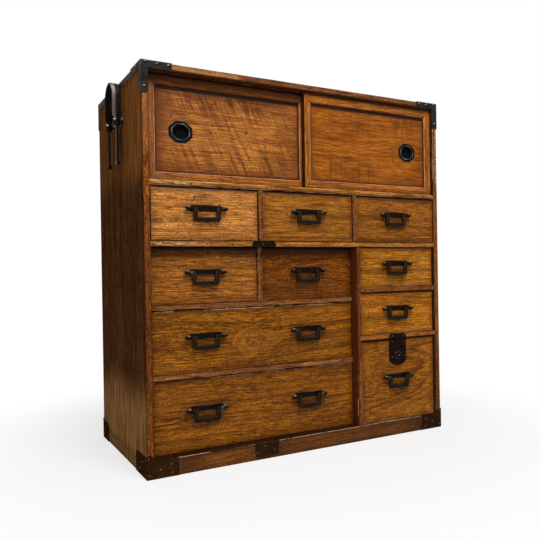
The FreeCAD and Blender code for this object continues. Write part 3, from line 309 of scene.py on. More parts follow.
def boards(node, pick, body="case", front=None):
    """The boards of a wooden node."""
    copied(node, "wood", pick, 0.7 * MM, body, board_marks, front)


def irons(node, pick, arris=0.3 * MM, body="case"):
    """The pieces of an iron node."""
    copied(node, "iron", pick, arris, body, iron_marks)


# ------------------------------------------------------------------------------------------
# Wiring of materials
# ------------------------------------------------------------------------------------------
def tone(red, green, blue):
    """A colour from its 0 to 255 display values."""
    value = np.array([red, green, blue]) / 255
    linear = np.where(value <= 0.04045, value / 12.92, ((value + 0.055) / 1.055) ** 2.4)
    return (*linear.tolist(), 1.0)


def deeper(mid, red, green, blue):
    """A tone with its light multiplied."""
    value = tone(*mid)
    return (value[0] * red, value[1] * green, value[2] * blue, 1.0)


class Value:
    """What a node puts out, a number or a vector. Its sums, differences, products, quotients, powers and
    absolute value are new nodes of the same tree."""

    def __init__(self, wiring, socket):
        self.socket = socket
        self.work = wiring.math if socket.type == "VALUE" else wiring.vector

    def __add__(self, other):
        return self.work("ADD", self, other)

    def __sub__(self, other):
        return self.work("SUBTRACT", self, other)

    def __rsub__(self, other):
        return self.work("SUBTRACT", other, self)

    def __mul__(self, other):
        return self.work("MULTIPLY", self, other)

    def __truediv__(self, other):
        return self.work("DIVIDE", self, other)

    def __pow__(self, other):
        return self.work("POWER", self, other)

    def __abs__(self):
        return self.work("ABSOLUTE", self)


class Wiring:
    """Adds nodes to one tree and joins them. A material's wiring also holds its colour so far, and where
    the point is in the piece's own frame."""

    def __init__(self, tree):
        self.tree, self.colour, self.where = tree, None, None

    def put(self, socket, value):
        """Sets a socket to a constant, or joins it to what another node puts out."""
        if isinstance(value, Value):
            self.tree.links.new(value.socket, socket)
        else:
            socket.default_value = value

    def add(self, kind, inputs=None, **settings):
        """A new node."""
        node = self.tree.nodes.new(f"ShaderNode{kind}")
        for key, value in settings.items():
            setattr(node, key, value)
        for key, value in (inputs or {}).items():
            self.put(node.inputs[key], value)
        return node

    def made(self, kind, inputs=None, **settings):
        """What a new node puts out, by name."""
        return {socket.name: Value(self, socket) for socket in self.add(kind, inputs, **settings).outputs}

    def math(self, operation, *values, clamp=False):
        """A sum, a product and so on of numbers."""
        return self.made("Math", dict(enumerate(values)), operation=operation, use_clamp=clamp)["Value"]

    def vector(self, operation, *values):
        """A sum, a product and so on of vectors."""
        output = "Value" if operation in ("LENGTH", "DOT_PRODUCT") else "Vector"
        return self.made("VectorMath", dict(enumerate(values)), operation=operation)[output]

    def most(self, first, *others):
        """The greatest of some numbers."""
        for other in others:
            first = self.math("MAXIMUM", first, other)
        return first

    def least(self, first, *others):
        """The least of some numbers."""
        for other in others:
            first = self.math("MINIMUM", first, other)
        return first

    def parts(self, vector):
        """The three numbers of a vector."""
        return list(self.made("SeparateXYZ", {"Vector": vector}).values())

    def whole(self, x, y, z):
        """A vector of three numbers."""
        return self.made("CombineXYZ", {"X": x, "Y": y, "Z": z})["Vector"]

    def rotated(self, vector, axis, angle):
        """A vector turned about an axis."""
        return self.made("VectorRotate", {"Vector": vector, "Axis": axis, "Angle": angle})["Vector"]

    def mix(self, factor, first, second, blend="MIX"):
        """A mixture of two colours."""
        node = self.add("Mix", {0: factor, 6: first, 7: second}, data_type="RGBA", blend_type=blend,
                        clamp_factor=True)
        return Value(self, node.outputs[2])

    def tint(self, shade, share, *shares):
        """Lays a tone or a colour over the colour so far, as strong as the product of the shares."""
        for other in shares:
            share = share * other
        if isinstance(shade, tuple) and len(shade) == 3:
            shade = tone(*shade)
        self.colour = self.mix(share, self.colour, shade)

    def fade(self, shade, value, none, full, share, *shares):
        """A tint of no strength where the value is none, and of the whole share where it is full, both
        in millimetres."""
        self.tint(shade, self.between(value, none * MM, full * MM, 0.0, share), *shares)

    def between(self, value, low, high, out_low=0.0, out_high=1.0, smooth=True):
        """How far the value is from low to high, from out_low to out_high."""
        return self.made("MapRange", {"Value": value, "From Min": low, "From Max": high, "To Min": out_low,
                                      "To Max": out_high},
                         interpolation_type="SMOOTHSTEP" if smooth else "LINEAR", clamp=True)["Result"]

    def noise(self, where, scale=1.0, detail=2.0, rough=0.5, output="Fac"):
        """A soft random pattern, as a number near a half or as a colour."""
        return self.made("TexNoise", {"Vector": where, "Scale": scale, "Detail": detail,
                                      "Roughness": rough})[output]

    def read(self, name, output="Fac"):
        """An attribute of the mesh."""
        return self.made("Attribute", attribute_name=name)[output]

    def group(self, group, **inputs):
        """What a group puts out, by name."""
        return self.made("Group", {key.replace("_", " "): value for key, value in inputs.items()},
                         node_tree=group)

    def from_arris(self):
        """Distance from the nearest arris of a board or an iron."""
        return self.group(ARRIS, Low=self.read("from_low", "Vector"),
                          High=self.read("from_high", "Vector"))["Distance"]

    def hill(self, centre, size):
        """A soft hill at (x, z) of (width, height) in millimetres on a board that faces the front."""
        return self.group(HILL, Where=self.where, Centre=(centre[0] * MM, 0, centre[1] * MM),
                          Size=(size[0] * MM, 10, size[1] * MM))["Height"]

    def stroke(self, centre, half, tilt=0.0):
        """A straight mark at (x, z) of half its length and width, in millimetres, on the front."""
        return self.group(STROKE, Where=self.where, Centre=(centre[0] * MM, 0, centre[1] * MM),
                          Half=(half[0] * MM, 1, half[1] * MM), Tilt=tilt)

    def bump(self, skin, height, distance):
        """Gives a skin a relief of so many metres for a height of 1."""
        self.put(skin.inputs["Normal"],
                 self.made("Bump", {"Height": height, "Distance": distance, "Strength": 0.8})["Normal"])

    def gives(self, **outputs):
        """Puts the values out of a group, and returns it."""
        for title in outputs:
            self.tree.interface.new_socket(title, in_out="OUTPUT", socket_type="NodeSocketFloat")
        node = self.tree.nodes.new("NodeGroupOutput")
        for title, value in outputs.items():
            self.put(node.inputs[title], value)
        return self.tree


def effect(name, **inputs):
    """A new node group: its wiring, and the values that it is given. An input of None is a vector."""
    tree = bpy.data.node_groups.new(name, "ShaderNodeTree")
    for title, value in inputs.items():
        socket = tree.interface.new_socket(title.replace("_", " "), in_out="INPUT",
                                           socket_type=f"NodeSocket{'Vector' if value is None else 'Float'}")
        if value is not None:
            socket.default_value = value
    w = Wiring(tree)
    return w, [Value(w, socket) for socket in tree.nodes.new("NodeGroupInput").outputs[:len(inputs)]]


def make_figure():
    """Grain of a sawn board, from its place along, across and through the board.

    A ring is a whole step of the distance from the tree's heart, which lies beside and below the board
    and sinks away along it. Lift raises the rings round a knot. Band and Streak are noise over the ring
    number and drawn out along the board, so they follow the rings. Cloud is soft noise. Grit is fine
    lines along the grain with shorter ones among them, Flecks are scattered dark dashes, and Specks is
    a fine unevenness about 1.
    """
    w, (grain, board, ring, heart_across, heart_below, sink, wander, lift) = effect(
        "board_figure", Grain=None, Board=0.0, Ring=0.006, Heart_across=0.0, Heart_below=0.05, Sink=0.0,
        Wander=0.01, Lift=0.0)
    place = grain + w.whole(board * 31.7, board * 17.3, board * 23.9)
    drift = w.noise(place * (3, 10, 10), detail=1, output="Color") - (.5, .5, .5)
    swing = drift * (0, 1, 1) * wander
    bent = place + (swing + w.whole(0.0, lift, 0.0))
    along, across, through = w.parts(grain + swing)
    below = through + heart_below + along * sink
    radius = w.math("SQRT", (across - heart_across) ** 2.0 + below ** 2.0)
    count = (radius + lift) / ring
    count = count + w.noise(w.whole(count, board, 0.0), 0.45, 1) * 1.4
    count = count + w.noise(place * (40, 120, 120), detail=1) * 0.25
    step = w.math("FRACT", count)
    late = step ** 2.5 * w.between(step, 1.0, 0.88)
    strength = w.noise(w.whole(w.math("FLOOR", count), board, 3.0), 1.7, 0)
    broken = w.between(w.noise(bent * (24, 300, 300), detail=1), 0.36, 0.56, 0.4, 1.0)
    late = late * w.between(strength, 0.35, 0.65, 0.15, 1.0)
    band = w.noise(w.whole(along * 3.0, count * 0.45, board))
    streak = w.noise(w.whole(along * 16.0, count * 2.1, board), rough=0.6)
    lines = w.noise(bent * (26, 560, 560), detail=1)
    short = w.noise(bent * (110, 560, 560), rough=0.7)
    long_flecks = w.between(w.noise(bent * (60, 430, 430), detail=0), 0.66, 0.7)
    short_flecks = w.between(w.noise(bent * (190, 520, 520), detail=0), 0.64, 0.68)
    return w.gives(Rings=w.math("MULTIPLY", late * broken, 1.9, clamp=True), Band=w.between(band, 0.32, 0.68),
                   Streak=w.between(streak, 0.32, 0.68),
                   Cloud=w.between(w.noise(place * (6, 14, 14), detail=3), 0.3, 0.7),
                   Flecks=w.most(long_flecks * 0.8, short_flecks),
                   Grit=w.between(short * 0.3 + lines, 0.48, 0.83, smooth=False),
                   Specks=w.between(w.noise(grain, 400.0, 1, 0.6), 0.3, 0.7, 0.35, 1.65, smooth=False))


def make_hill():
    """A soft round height of 1 at a centre: e to the power of minus the square of the distance from the
    centre, measured in sizes."""
    w, (where, centre, size) = effect("soft_hill", Where=None, Centre=None, Size=None)
    away = (where - centre) / size
    return w.gives(Height=w.math("EXPONENT", w.vector("DOT_PRODUCT", away, away) * -1.0))


def make_arris_distance():
    """Distance from the nearest arris of a box-shaped piece: of the three distances from its sides one
    is nothing, because the point is on that side, and the lesser of the other two is the answer. That
    is the sum of the three less the greatest and the least."""
    w, (low, high) = effect("arris_distance", Low=None, High=None)
    x, y, z = w.parts(w.vector("MINIMUM", low, high))
    return w.gives(Distance=x + y + z - w.most(x, y, z) - w.least(x, y, z))


def make_edge_wear():
    """Where hands have rubbed an arris: within reach of it, and only in some stretches of it."""
    w, (distance, where, reach, amount) = effect("edge_wear", Distance=1.0, Where=None, Reach=0.003,
                                                 Amount=0.5)
    start = 0.7 - amount * 0.44
    stretches = w.between(w.noise(where, 6.0, 5, 0.66), start, start + 0.12)
    return w.gives(Mask=w.between(distance / reach, 1.0, 0.4) * stretches)


def make_stroke():
    """A straight mark on a board that faces the front: a rectangle about its centre, turned by its
    tilt. Inside is the distance from its border, Fill the inside and Rim a thin band in the border."""
    w, (where, centre, half, tilt) = effect("stroke", Where=None, Centre=None, Half=None, Tilt=0.0)
    x, _, z = w.parts(half - abs(w.rotated(where - centre, (0, 1, 0), tilt)))
    inside = w.least(x, z)
    fill = w.between(inside, 0.0, 0.8 * MM)
    return w.gives(Inside=inside, Fill=fill, Rim=fill * w.between(inside, 2.2 * MM, 1.2 * MM))


def make_knocks():
    """Small dark holes and dents: the middles of some cells of a scatter, and short scratches: the
    narrow band where a drawn-out noise passes its middle value, kept only in a few places."""
    w, (where, share) = effect("knocks", Where=None, Share=0.4)
    along, across, through = w.parts(where)
    flat = w.whole(along, across + through, 0.0)
    wobble = flat + w.noise(flat, 300.0, output="Color") * (0.002, 0.002, 0)
    holes = []
    for scale, size in ((38.0, 0.07), (95.0, 0.11)):
        cell = w.made("TexVoronoi", {"Vector": wobble, "Scale": scale}, voronoi_dimensions="2D")
        chance, width, _ = w.parts(cell["Color"])
        holes.append(w.math("LESS_THAN", chance, share)
                     * w.between(cell["Distance"] / (width * size + size * 0.3), 1.0, 0.6))
    band = abs(w.noise(w.rotated(where, (0, 0, 1), 0.9) * (9, 60, 60), detail=1) - 0.5)
    few = w.between(w.noise(where, 26.0, 1), 0.62, 0.7)
    return w.gives(Holes=w.most(holes[0], holes[1] * 0.6), Scratches=w.between(band, 0.004, 0.0015) * few)


FIGURE, HILL = make_figure(), make_hill()
ARRIS, WEAR, KNOCKS, STROKE = make_arris_distance(), make_edge_wear(), make_knocks(), make_stroke()


def new_material(name):
    """A material, its wiring and its skin."""
    material = bpy.data.materials.new(name)
    material.use_nodes = True
    w = Wiring(material.node_tree)
    w.where = w.made("TexCoord")["Object"]
    return material, w, material.node_tree.nodes["Principled BSDF"]


def edge_marks(w, black, shades, glints):
    """Painted shade and painted highlights along single edges of a board.

    A shade is (edge, reach, strength): a band of painted shade, as in the gap under a rail or beside a
    drawer. A glint is (edge, distance from it, strength, tone): a broken pale line along an arris, a
    painted highlight that is partly rubbed wear. Lengths are in millimetres. start and end are the edges
    that the grain runs to, low and high those beside it, and thin_low and thin_high those of the board's
    thickness. A glint's line is at most seven tenths of its tone.
    """
    away = dict(zip(("start", "low", "thin_low", "end", "high", "thin_high"),
                    w.parts(w.read("from_low", "Vector")) + w.parts(w.read("from_high", "Vector"))))
    # painted shade in a band along an edge
    for edge, reach, strength in shades:
        uneven = (w.noise(w.where, 30.0, 3) * 0.8 + 0.6) * (reach * MM)
        w.tint(black, w.between(away[edge] / uneven, 1.0, 0.4, 0.0, strength))
    # painted highlight lines along arrises, partly rubbed wear
    for edge, distance, strength, shade in glints:
        line = w.between(abs(away[edge] - distance * MM), 0.9 * MM, 0.45 * MM, 0.0, 0.7 * strength)
        broken = w.between(w.noise(w.where * (14, 60, 60), detail=4, rough=0.7), 0.42, 0.56)
        w.tint(shade, line, broken)


def lacquered(name, mid, ring=0.006, heart=(0.0, 0.05), sink=0.0, wander=0.02, rings=0.6, band=0.4,
              flecks=0.6, grit=0.62, specks=0.35, shades=(), glints=(), worn=0.5, worn_reach=1.6 * MM,
              worn_tone=(206, 156, 116), border=0.5, border_reach=0.02, line=0.6, holes=0.35, knots=(),
              extra=None, sheen=0.08, face=FRONT, inside=None):
    """Old lacquered wood of a middle tone.

    heart is where the tree's heart lies, across and behind the board's face, and sink is how fast it
    falls away along the board. rings, band, flecks and specks say how strong those parts of the figure
    are, and grit how much of its light and dark is fine lines. border is how dark the board is along
    its edges, and line how dark its very arris. knots are (centre, size, lift, darkness) in
    millimetres, and the darkness is that of the knot's core. extra adds the marks of one board: it is
    given the wiring, and tints its colour. Behind the plane y = face the wood is painted nearly black
    for a little way, as shade in the gaps and recesses between parts, and then has the tone inside, if
    it has one. shades and glints are for edge_marks.
    """
    material, w, skin = new_material(name)
    grain = w.read("grain", "Vector")
    lift, cores = 0.0, []
    for centre, size, height, darkness in knots:
        mound = w.hill(centre, size)
        lift = mound * (height * MM) + lift
        cores.append((w.between(mound, 0.8, 0.97), darkness))
    figure = w.group(FIGURE, Grain=grain, Board=w.read("board"), Ring=ring, Heart_across=heart[0],
                     Heart_below=heart[1], Sink=sink, Wander=wander, Lift=lift)
    knocks = w.group(KNOCKS, Where=grain, Share=holes)
    distance = w.from_arris()
    dull, pale = deeper(mid, 0.46, 0.4, 0.36), deeper(mid, 1.75, 1.8, 1.9)
    deep, black = deeper(mid, 0.24, 0.17, 0.18), deeper(mid, 0.05, 0.03, 0.06)
    broad = figure["Cloud"] * 0.4 + figure["Streak"] * 0.35 + figure["Band"] * 0.25
    light = figure["Grit"] * grit + broad * (1 - grit)
    w.colour = w.mix(w.between(light, 0.17, 0.83, smooth=False), dull, pale)
    w.tint(deep, w.between(figure["Band"], 0.45, 0.0), band)
    w.tint(deep, figure["Rings"], rings)
    w.tint(deep, figure["Flecks"], flecks)
    for core, darkness in cores:
        w.tint(deep, core, darkness)
    if extra:
        extra(w)
    uneven = (w.noise(w.where, 14.0, 3, 0.6) * 0.9 + 0.5) * border_reach
    w.tint(deep, w.between(distance / uneven, 1.0, 0.0), border)
    w.tint(black, knocks["Scratches"], 0.6)
    w.tint((34, 14, 22), knocks["Holes"], 0.85)
    w.fade(black, distance, 1.8, 0.7, line)
    rubbed = w.group(WEAR, Distance=distance, Where=w.where, Reach=worn_reach, Amount=worn)["Mask"]
    w.tint(worn_tone, rubbed, 0.8)
    edge_marks(w, black, shades, glints)
    w.colour = w.mix(specks, w.colour, w.whole(*[figure["Specks"]] * 3), "MULTIPLY")
    depth = w.parts(w.where)[1] - face
    if inside:
        bare = w.mix(light, deeper(inside, 0.7, 0.66, 0.6), deeper(inside, 1.3, 1.3, 1.3))
        w.fade(bare, depth, 9, 22, 1.0)
    # painted shade: nearly black on faces just behind the front plane, in the gaps and recesses
    w.tint(black, w.between(depth, 0.9 * MM, 2.2 * MM), w.between(depth, 22 * MM, 9 * MM), 0.92)
    w.put(skin.inputs["Base Color"], w.colour)
    gloss = figure["Streak"] * -0.1 + rubbed * 0.15 + w.noise(w.where, 18.0, 3) * 0.2
    w.put(skin.inputs["Roughness"], w.math("ADD", gloss, 0.4, clamp=True))
    skin.inputs["Specular IOR Level"].default_value = sheen
    grained = figure["Grit"] * 0.08 - figure["Rings"] * 0.3 - figure["Flecks"] * 0.4
    cut = knocks["Holes"] * 2.5 + knocks["Scratches"] * 1.2
    w.bump(skin, grained - cut + w.noise(w.where, 42.0, 3) * 0.9, 0.25 * MM)
    return material


def forged(name, black, brown, bright, rust=0.4, worn=0.45, flat_iron=True, extra=None, metal=0.35):
    """Blackened iron: hammered, browned in patches, and rubbed bright along the arrises of a flat iron. A
    rounded one is as bright as the attribute that its mesh carries for this, which holds rubbed wear and,
    on some pieces, painted highlights. metal is how metallic the black is, and the brown has three
    tenths of it. extra adds marks as for lacquered."""
    material, w, skin = new_material(name)
    patches = w.between(w.noise(w.where, 34.0, 5, 0.65), 0.62 - rust * 0.3, 0.78 - rust * 0.3)
    grit = w.noise(w.where, 330.0, 3, 0.7)
    w.colour = w.mix(patches, tone(*black), tone(*brown))
    w.tint(deeper(black, 0.3, 0.3, 0.3), w.between(grit, 0.5, 0.75, 0.0, 0.6))
    w.tint(deeper(black, 2.6, 2.5, 2.5), w.between(w.noise(w.where, 75.0, 4, 0.7), 0.55, 0.75), 0.35)
    if flat_iron:
        rubbed = w.group(WEAR, Distance=w.from_arris(), Where=w.where, Reach=1.6 * MM, Amount=worn)["Mask"]
    else:
        # the attribute holds rubbed wear, and painted highlights on the nails, the acorns and the cups' lips
        rubbed = w.read("wear_and_glint") * w.between(w.noise(w.where, 40.0, 3, 0.6), 0.3, 0.6, 0.35, 1.0)
    w.tint(bright, rubbed, 0.75)
    if extra:
        extra(w)
    w.put(skin.inputs["Base Color"], w.colour)
    w.put(skin.inputs["Metallic"], w.between(patches, 0.0, 1.0, metal, metal * 0.3))
    skin.inputs["Specular IOR Level"].default_value = 0.22 * metal
    skin.inputs["Specular Tint"].default_value = (0.3, 0.24, 0.2, 1.0)
    w.put(skin.inputs["Roughness"], patches * 0.2 + (grit * 0.2 + 0.36))
    uneven = w.noise(w.where, 90.0, output="Color") * (0.004, 0.004, 0.004)
    beaten = w.made("TexVoronoi", {"Vector": w.where + uneven, "Scale": 150.0})["Distance"]
    w.bump(skin, beaten * 0.9 + grit * 0.4, 0.4 * MM)
    return material


# ------------------------------------------------------------------------------------------
# Wood
# ------------------------------------------------------------------------------------------
def strokes(*marks):
    """The marks of one board: each is (centre, half, tilt, tone, strength)."""
    def draw(w):
        """Lays the marks over the colour."""
        for centre, half, tilt, shade, strength in marks:
            w.tint(shade, w.stroke(centre, half, tilt)["Fill"], strength)
    return draw


def tenons(*centres):
    """The ends of the tenons that come through the left post, paler in flecks, with a dotted dark
    outline, and the pale wear beside them."""
    def draw(w):
        """Lays the tenons over the colour."""
        flecks = w.between(w.noise(w.where * (70, 70, 620), detail=1), 0.46, 0.6)
        for x, z in centres:
            mark = w.stroke((x, z), (13, 4.5))
            w.tint((214, 176, 130), mark["Fill"], flecks, 0.5)
            w.tint((50, 22, 20), mark["Rim"], flecks * -0.6 + 0.85)
            w.tint((226, 178, 104), w.hill((x + 50, z), (46, 6)), flecks, 0.7)
    return draw


def pits(w, *spots):
    """Small dark pits, each (centre, size) in millimetres."""
    for centre, size in spots:
        core = w.hill(centre, (size, size * 0.8))
        w.tint((46, 20, 18), w.between(core, 0.25, 0.75, 0.0, 0.85))


def grouped(w, *groups):
    """Where the bands of a panel are strong: the sum of soft hills, each (centre, size, weight), and no
    more than 1."""
    total = 0.0
    for centre, size, weight in groups:
        total = w.hill(centre, size) * weight + total
    return w.least(total, 1.0)


def flames(w):
    """Dark bands across the left panel's grain, steep and leaning to the right as they fall, in six
    groups, with small holes, and painted plum-brown shade along its left side and under the top."""
    x, _, z = w.parts(w.where)
    leaning = w.rotated(w.where, (0, 1, 0), 0.42)
    bands = w.between(w.noise(leaning * (118, 1, 12), detail=1), 0.48, 0.6)
    broken = w.between(w.noise(w.where * (12, 1, 260)), 0.35, 0.6, 0.5, 1.0)
    groups = grouped(w, ((-262, 800), (70, 34), 1.0), ((-150, 796), (62, 36), 0.95),
                     ((-128, 668), (95, 36), 1.0), ((-285, 672), (62, 30), 0.7),
                     ((-60, 740), (50, 40), 0.4), ((-200, 730), (60, 30), 0.45))
    w.tint((80, 38, 18), bands, broken * groups)
    # painted shade along the panel's left side and under the top
    w.tint((92, 40, 34), w.between(x, -362 * MM, -325 * MM, 0.5, 0.0))
    w.fade((84, 42, 28), z, 770, 832, 0.4)
    pits(w, ((-150.6, 737), 4.5), ((-102, 728), 2.5), ((-102, 709), 3), ((-234, 745), 2.5), ((-237, 729), 3))


def faint_bands(w):
    """Faint upright bands across the right panel's grain, and three pits."""
    bands = w.between(w.noise(w.where * (80, 1, 12)), 0.5, 0.64)
    groups = grouped(w, ((90, 672), (80, 26), 0.6), ((150, 780), (60, 40), 0.3),
                     ((285, 790), (50, 30), 0.6), ((200, 660), (70, 20), 0.5))
    w.tint((92, 46, 14), bands, groups)
    pits(w, ((262, 699), 3.4), ((246, 692), 2.6), ((130, 690), 2))


def within_frame(first, opening):
    """Marks of a door's panel, and painted shade along its frame, darkest in the crevice and under the top
    member, with a patchy darker band further in. opening is (centre, half its size) of the opening in
    the frame, in millimetres."""
    def draw(w):
        """Lays the panel's marks and the shadow over the colour."""
        first(w)
        inside = w.stroke(*opening)["Inside"]
        # painted shade in the crevice along the frame
        w.fade((40, 14, 8), inside, 7, 0, 0.75)
        w.fade((84, 36, 14), inside, 26, 0, 0.4)
        patches = w.between(w.noise(w.where, 16.0, 4, 0.6), 0.4, 0.62)
        w.fade((96, 48, 16), inside, 80, 10, 0.4, patches)
        # painted shadow under the frame's top member, and a dark line of painted shade in the crevice
        below_top = (opening[0][1] + opening[1][1]) * MM - w.parts(w.where)[2]
        w.fade((20, 8, 8), below_top, 10.5, 6, 0.9)
        w.fade((20, 8, 8), inside, 1.6, 0.6, 0.9)
    return draw


def door_frame(opening, top_shade, reach, lap=None):
    """Marks of a door's frame: the small bevel round its opening, dark, with a painted highlight line on it
    below and at both sides but not above, and a painted shadow of the case's top at the top of the door,
    black down to top_shade and then fading over the reach. The left stile of the left door is paler,
    with a painted shadow line at its outer edge. The edge at x = lap, which stands before the other
    door, is painted black as shade."""
    top = opening[0][1] + opening[1][1]

    def draw(w):
        """Lays the frame's marks over the colour."""
        outside = w.stroke(*opening)["Inside"] * -1.0
        x, _, z = w.parts(w.where)
        w.fade((134, 86, 54), x, -340, -362, 0.4)
        # painted shadow line between the left post and the stile
        w.fade((52, 24, 10), x, -380, -383, 0.5)
        w.fade((62, 24, 12), outside, 3.6, 0.6, 0.6)
        # painted highlight line on the bevel, below and at both sides
        line = w.between(abs(outside - 1.9 * MM), 1.0 * MM, 0.45 * MM)
        lower = w.between(z, top * MM, (top - 3) * MM)
        broken = w.between(w.noise(w.where, 24.0, 4, 0.7), 0.35, 0.6, 0.35, 1.0)
        w.tint((222, 166, 130), line, lower, broken, 0.75)
        # painted shade on the edge beside the other door
        if lap is not None:
            w.fade((22, 9, 5), x, lap + 0.9, lap + 0.3, 0.9)
        # painted shadow of the case's top over the top of the door
        w.fade((14, 6, 5), z, top_shade, top_shade + 9, 0.93)
        w.fade((46, 22, 14), z, top_shade - reach, top_shade + 4, 0.75)
    return draw


def dark_cheek(w):
    """The main partition is dark and reddish over the left of its front, and its side, where it stands
    proud of the set-back drawers, is painted with the same dark as shade."""
    x, y, _ = w.parts(w.where)
    # painted shade on the side face, and the dark tone of the front's left part
    near = w.most(w.between(y, -189.6 * MM, -188.4 * MM), w.between(x, 138.5 * MM, 135.5 * MM))
    w.tint((76, 32, 10), near, 0.9)


def burl(w):
    """A burl in the upper wide drawer: rings about an eye, pale beside dark, that run out to a point on
    the right."""
    x, _, z = w.parts(w.where)
    offset = x + 146 * MM
    along = offset / w.between(offset, -10 * MM, 10 * MM, 50 * MM, 88 * MM)
    across = (z - 265 * MM) / w.between(along, 0.0, 1.1, 36 * MM, 13 * MM)
    far = w.vector("LENGTH", w.whole(along, across, 0.0)) + (w.noise(w.where, 44.0, 3) * 0.7 - 0.35)
    ring = w.math("PINGPONG", far * 1.45, 0.5)
    within = w.between(far, 1.12, 0.95) * w.between(w.noise(w.where, 55.0, 3, 0.6), 0.3, 0.6)
    w.tint((150, 90, 24), w.between(far, 1.1, 0.6, 0.0, 0.5))
    w.tint((92, 50, 14), w.between(w.noise(w.where, 95.0), 0.45, 0.65), w.between(far, 0.75, 0.5), 0.5)
    w.tint((186, 122, 44), w.between(abs(ring - 0.27), 0.12, 0.02), within, 0.36)
    w.tint((78, 40, 12), w.between(ring, 0.34, 0.47), within, 0.5)
    pits(w, ((-143, 262), 3), ((-131, 268), 2.4), ((-158, 243), 2), ((-172, 240), 2))


def worn_post(w):
    """The front of the posts: dents and dark upright flecks, two cuts on the left one, which is faded
    beside its door and shaded at its outer edge, and a ragged pale stretch by the right door."""
    x, _, z = w.parts(w.where)
    dents = w.between(w.noise(w.where * (300, 300, 130), detail=1), 0.57, 0.63)
    w.tint((44, 18, 12), dents, 0.75)
    for height in (295, 272.5):
        w.tint((30, 14, 12), w.stroke((-396.5, height), (3.5, 1.3))["Fill"], 0.9)
    faded = w.between(z, 640 * MM, 800 * MM) * w.between(x, 0.0, -100 * MM)
    w.tint((196, 132, 88), faded, 0.3)
    w.fade((84, 46, 20), x, -394, -390, 0.5, faded)
    ragged = w.between(w.noise(w.where * (500, 500, 190), detail=3, rough=0.7), 0.47, 0.55)
    w.tint((222, 166, 100), w.stroke((396.5, 722), (3, 74))["Fill"], ragged, 0.8)
    w.tint((232, 200, 172), w.stroke((388.5, 722), (1.4, 72))["Fill"], ragged, 0.7)


def pull_grime_and_shadow(first, spots, strength):
    """Marks of a drawer front, and a dark patch round and under each pull: painted shadow of the pull, with
    the grime of hands.
    """
    def draw(w):
        """Lays the front's marks and the grime over the colour."""
        if first:
            first(w)
        # painted shadow under each pull, with the grime of hands
        for spot in spots:
            w.tint((56, 26, 8), w.hill(spot, (44, 24)), strength)
    return draw


def side_streaks_and_loop_shadow(w):
    """The side is paler in upright streaks near its foot and under the top, more so towards the front
    under the top, and darkened by a painted shadow of the pole loop's irons."""
    x, y, z = w.parts(w.where)
    uneven = z + w.noise(w.where * (8, 8, 3), detail=3) * 0.1
    outside = w.between(abs(x), 398 * MM, 399 * MM)
    upright = w.noise(w.where * (130, 130, 9), detail=3, rough=0.6)
    streaks = w.between(upright, 0.36, 0.62, 0.25, 1.0) * outside
    w.fade((172, 124, 76), uneven, 260, 160, 0.7, streaks)
    w.fade((142, 88, 42), uneven, 640, 720, 0.75, streaks, w.between(y, 60 * MM, -170 * MM, 0.7, 1.25))
    # painted shadow of the pole loop's irons on the side
    loop_shadow = w.group(HILL, Where=w.whole(0.0, y, z), Centre=(0, -10 * MM, 730 * MM),
                    Size=(1, 44 * MM, 80 * MM))["Height"]
    w.tint((34, 20, 10), loop_shadow, outside, 0.75)


def dark_ends(w):
    """The end grain of the top is nearly black."""
    w.fade((30, 17, 10), abs(w.parts(w.where)[0]), 398.5, 399.5, 0.85)


def stained_base(w):
    """The base is darker to the right, and stained round its irons."""
    w.fade((60, 30, 8), w.parts(w.where)[0], -280, 60, 0.55)
    for spot, size in (((-322, 24), (46, 30)), ((-122, 24), (46, 30)), ((335, 24), (44, 30))):
        w.tint((44, 26, 14), w.hill(spot, size), 0.75)


# Settings that several woods share. In these and the woods below, shades are painted shade along an edge, and
# glints painted highlight lines along an arris, partly rubbed wear.
INSIDE = (120, 86, 52)
THIN = dict(ring=0.004, worn=0.3)
RAIL = dict(THIN, worn_reach=0.002, holes=0.6, border_reach=0.004, line=0.7, inside=INSIDE)
SHELF = dict(THIN, heart=(0.3, 0.02), inside=INSIDE)
DIVIDER = dict(SHELF, border_reach=0.006, shades=[("thin_low", 2.5, 0.7)],
               glints=[("thin_high", 0.8, 0.8, (186, 128, 100))])
UPPER_GLINT = ("thin_high", 0.8, 0.6, (170, 110, 84))
RECESS = dict(SHELF, border_reach=0.005, face=SET_BACK, shades=[("thin_low", 2.2, 0.85)])
UNSEEN = 1                              # a face so far back that nothing of the board is behind it

side_wood = lacquered("side_wood", (78, 48, 24), ring=0.007, heart=(0.1, 0.08), flecks=0.8, grit=0.55,
                      border=0.3, worn=0.3, sheen=0.0, line=0.3, face=UNSEEN, extra=side_streaks_and_loop_shadow)
top_wood = lacquered("top_wood", (92, 54, 24), extra=dark_ends, ring=0.008, heart=(0.02, 0.06), sink=0.03,
                     wander=0.03, border=0.3, worn=0.2, worn_tone=(160, 112, 70), sheen=0.02, line=0.3,
                     face=UNSEEN)
post_wood = lacquered("post_wood", (134, 75, 20), ring=0.004, heart=(0.3, 0.02), worn=0.4,
                      border_reach=0.005, line=0.7, extra=worn_post)
rail_wood = lacquered("rail_wood", (165, 104, 36), extra=tenons((-371, 611), (-369, 484)),
                      glints=[("thin_low", 0.8, 0.5, (186, 140, 110))], **RAIL)
crest_wood = lacquered("crest_wood", (124, 74, 32), worn_reach=0.003, holes=0.8, border=0.6,
                       border_reach=0.006, line=0.7, specks=0.6, shades=[("thin_low", 4, 0.7)],
                       glints=[("thin_high", 1.0, 0.7, (214, 176, 130))],
                       extra=strokes(((-300, 851), (120, 6), 0, (190, 136, 80), 0.4)), **THIN)
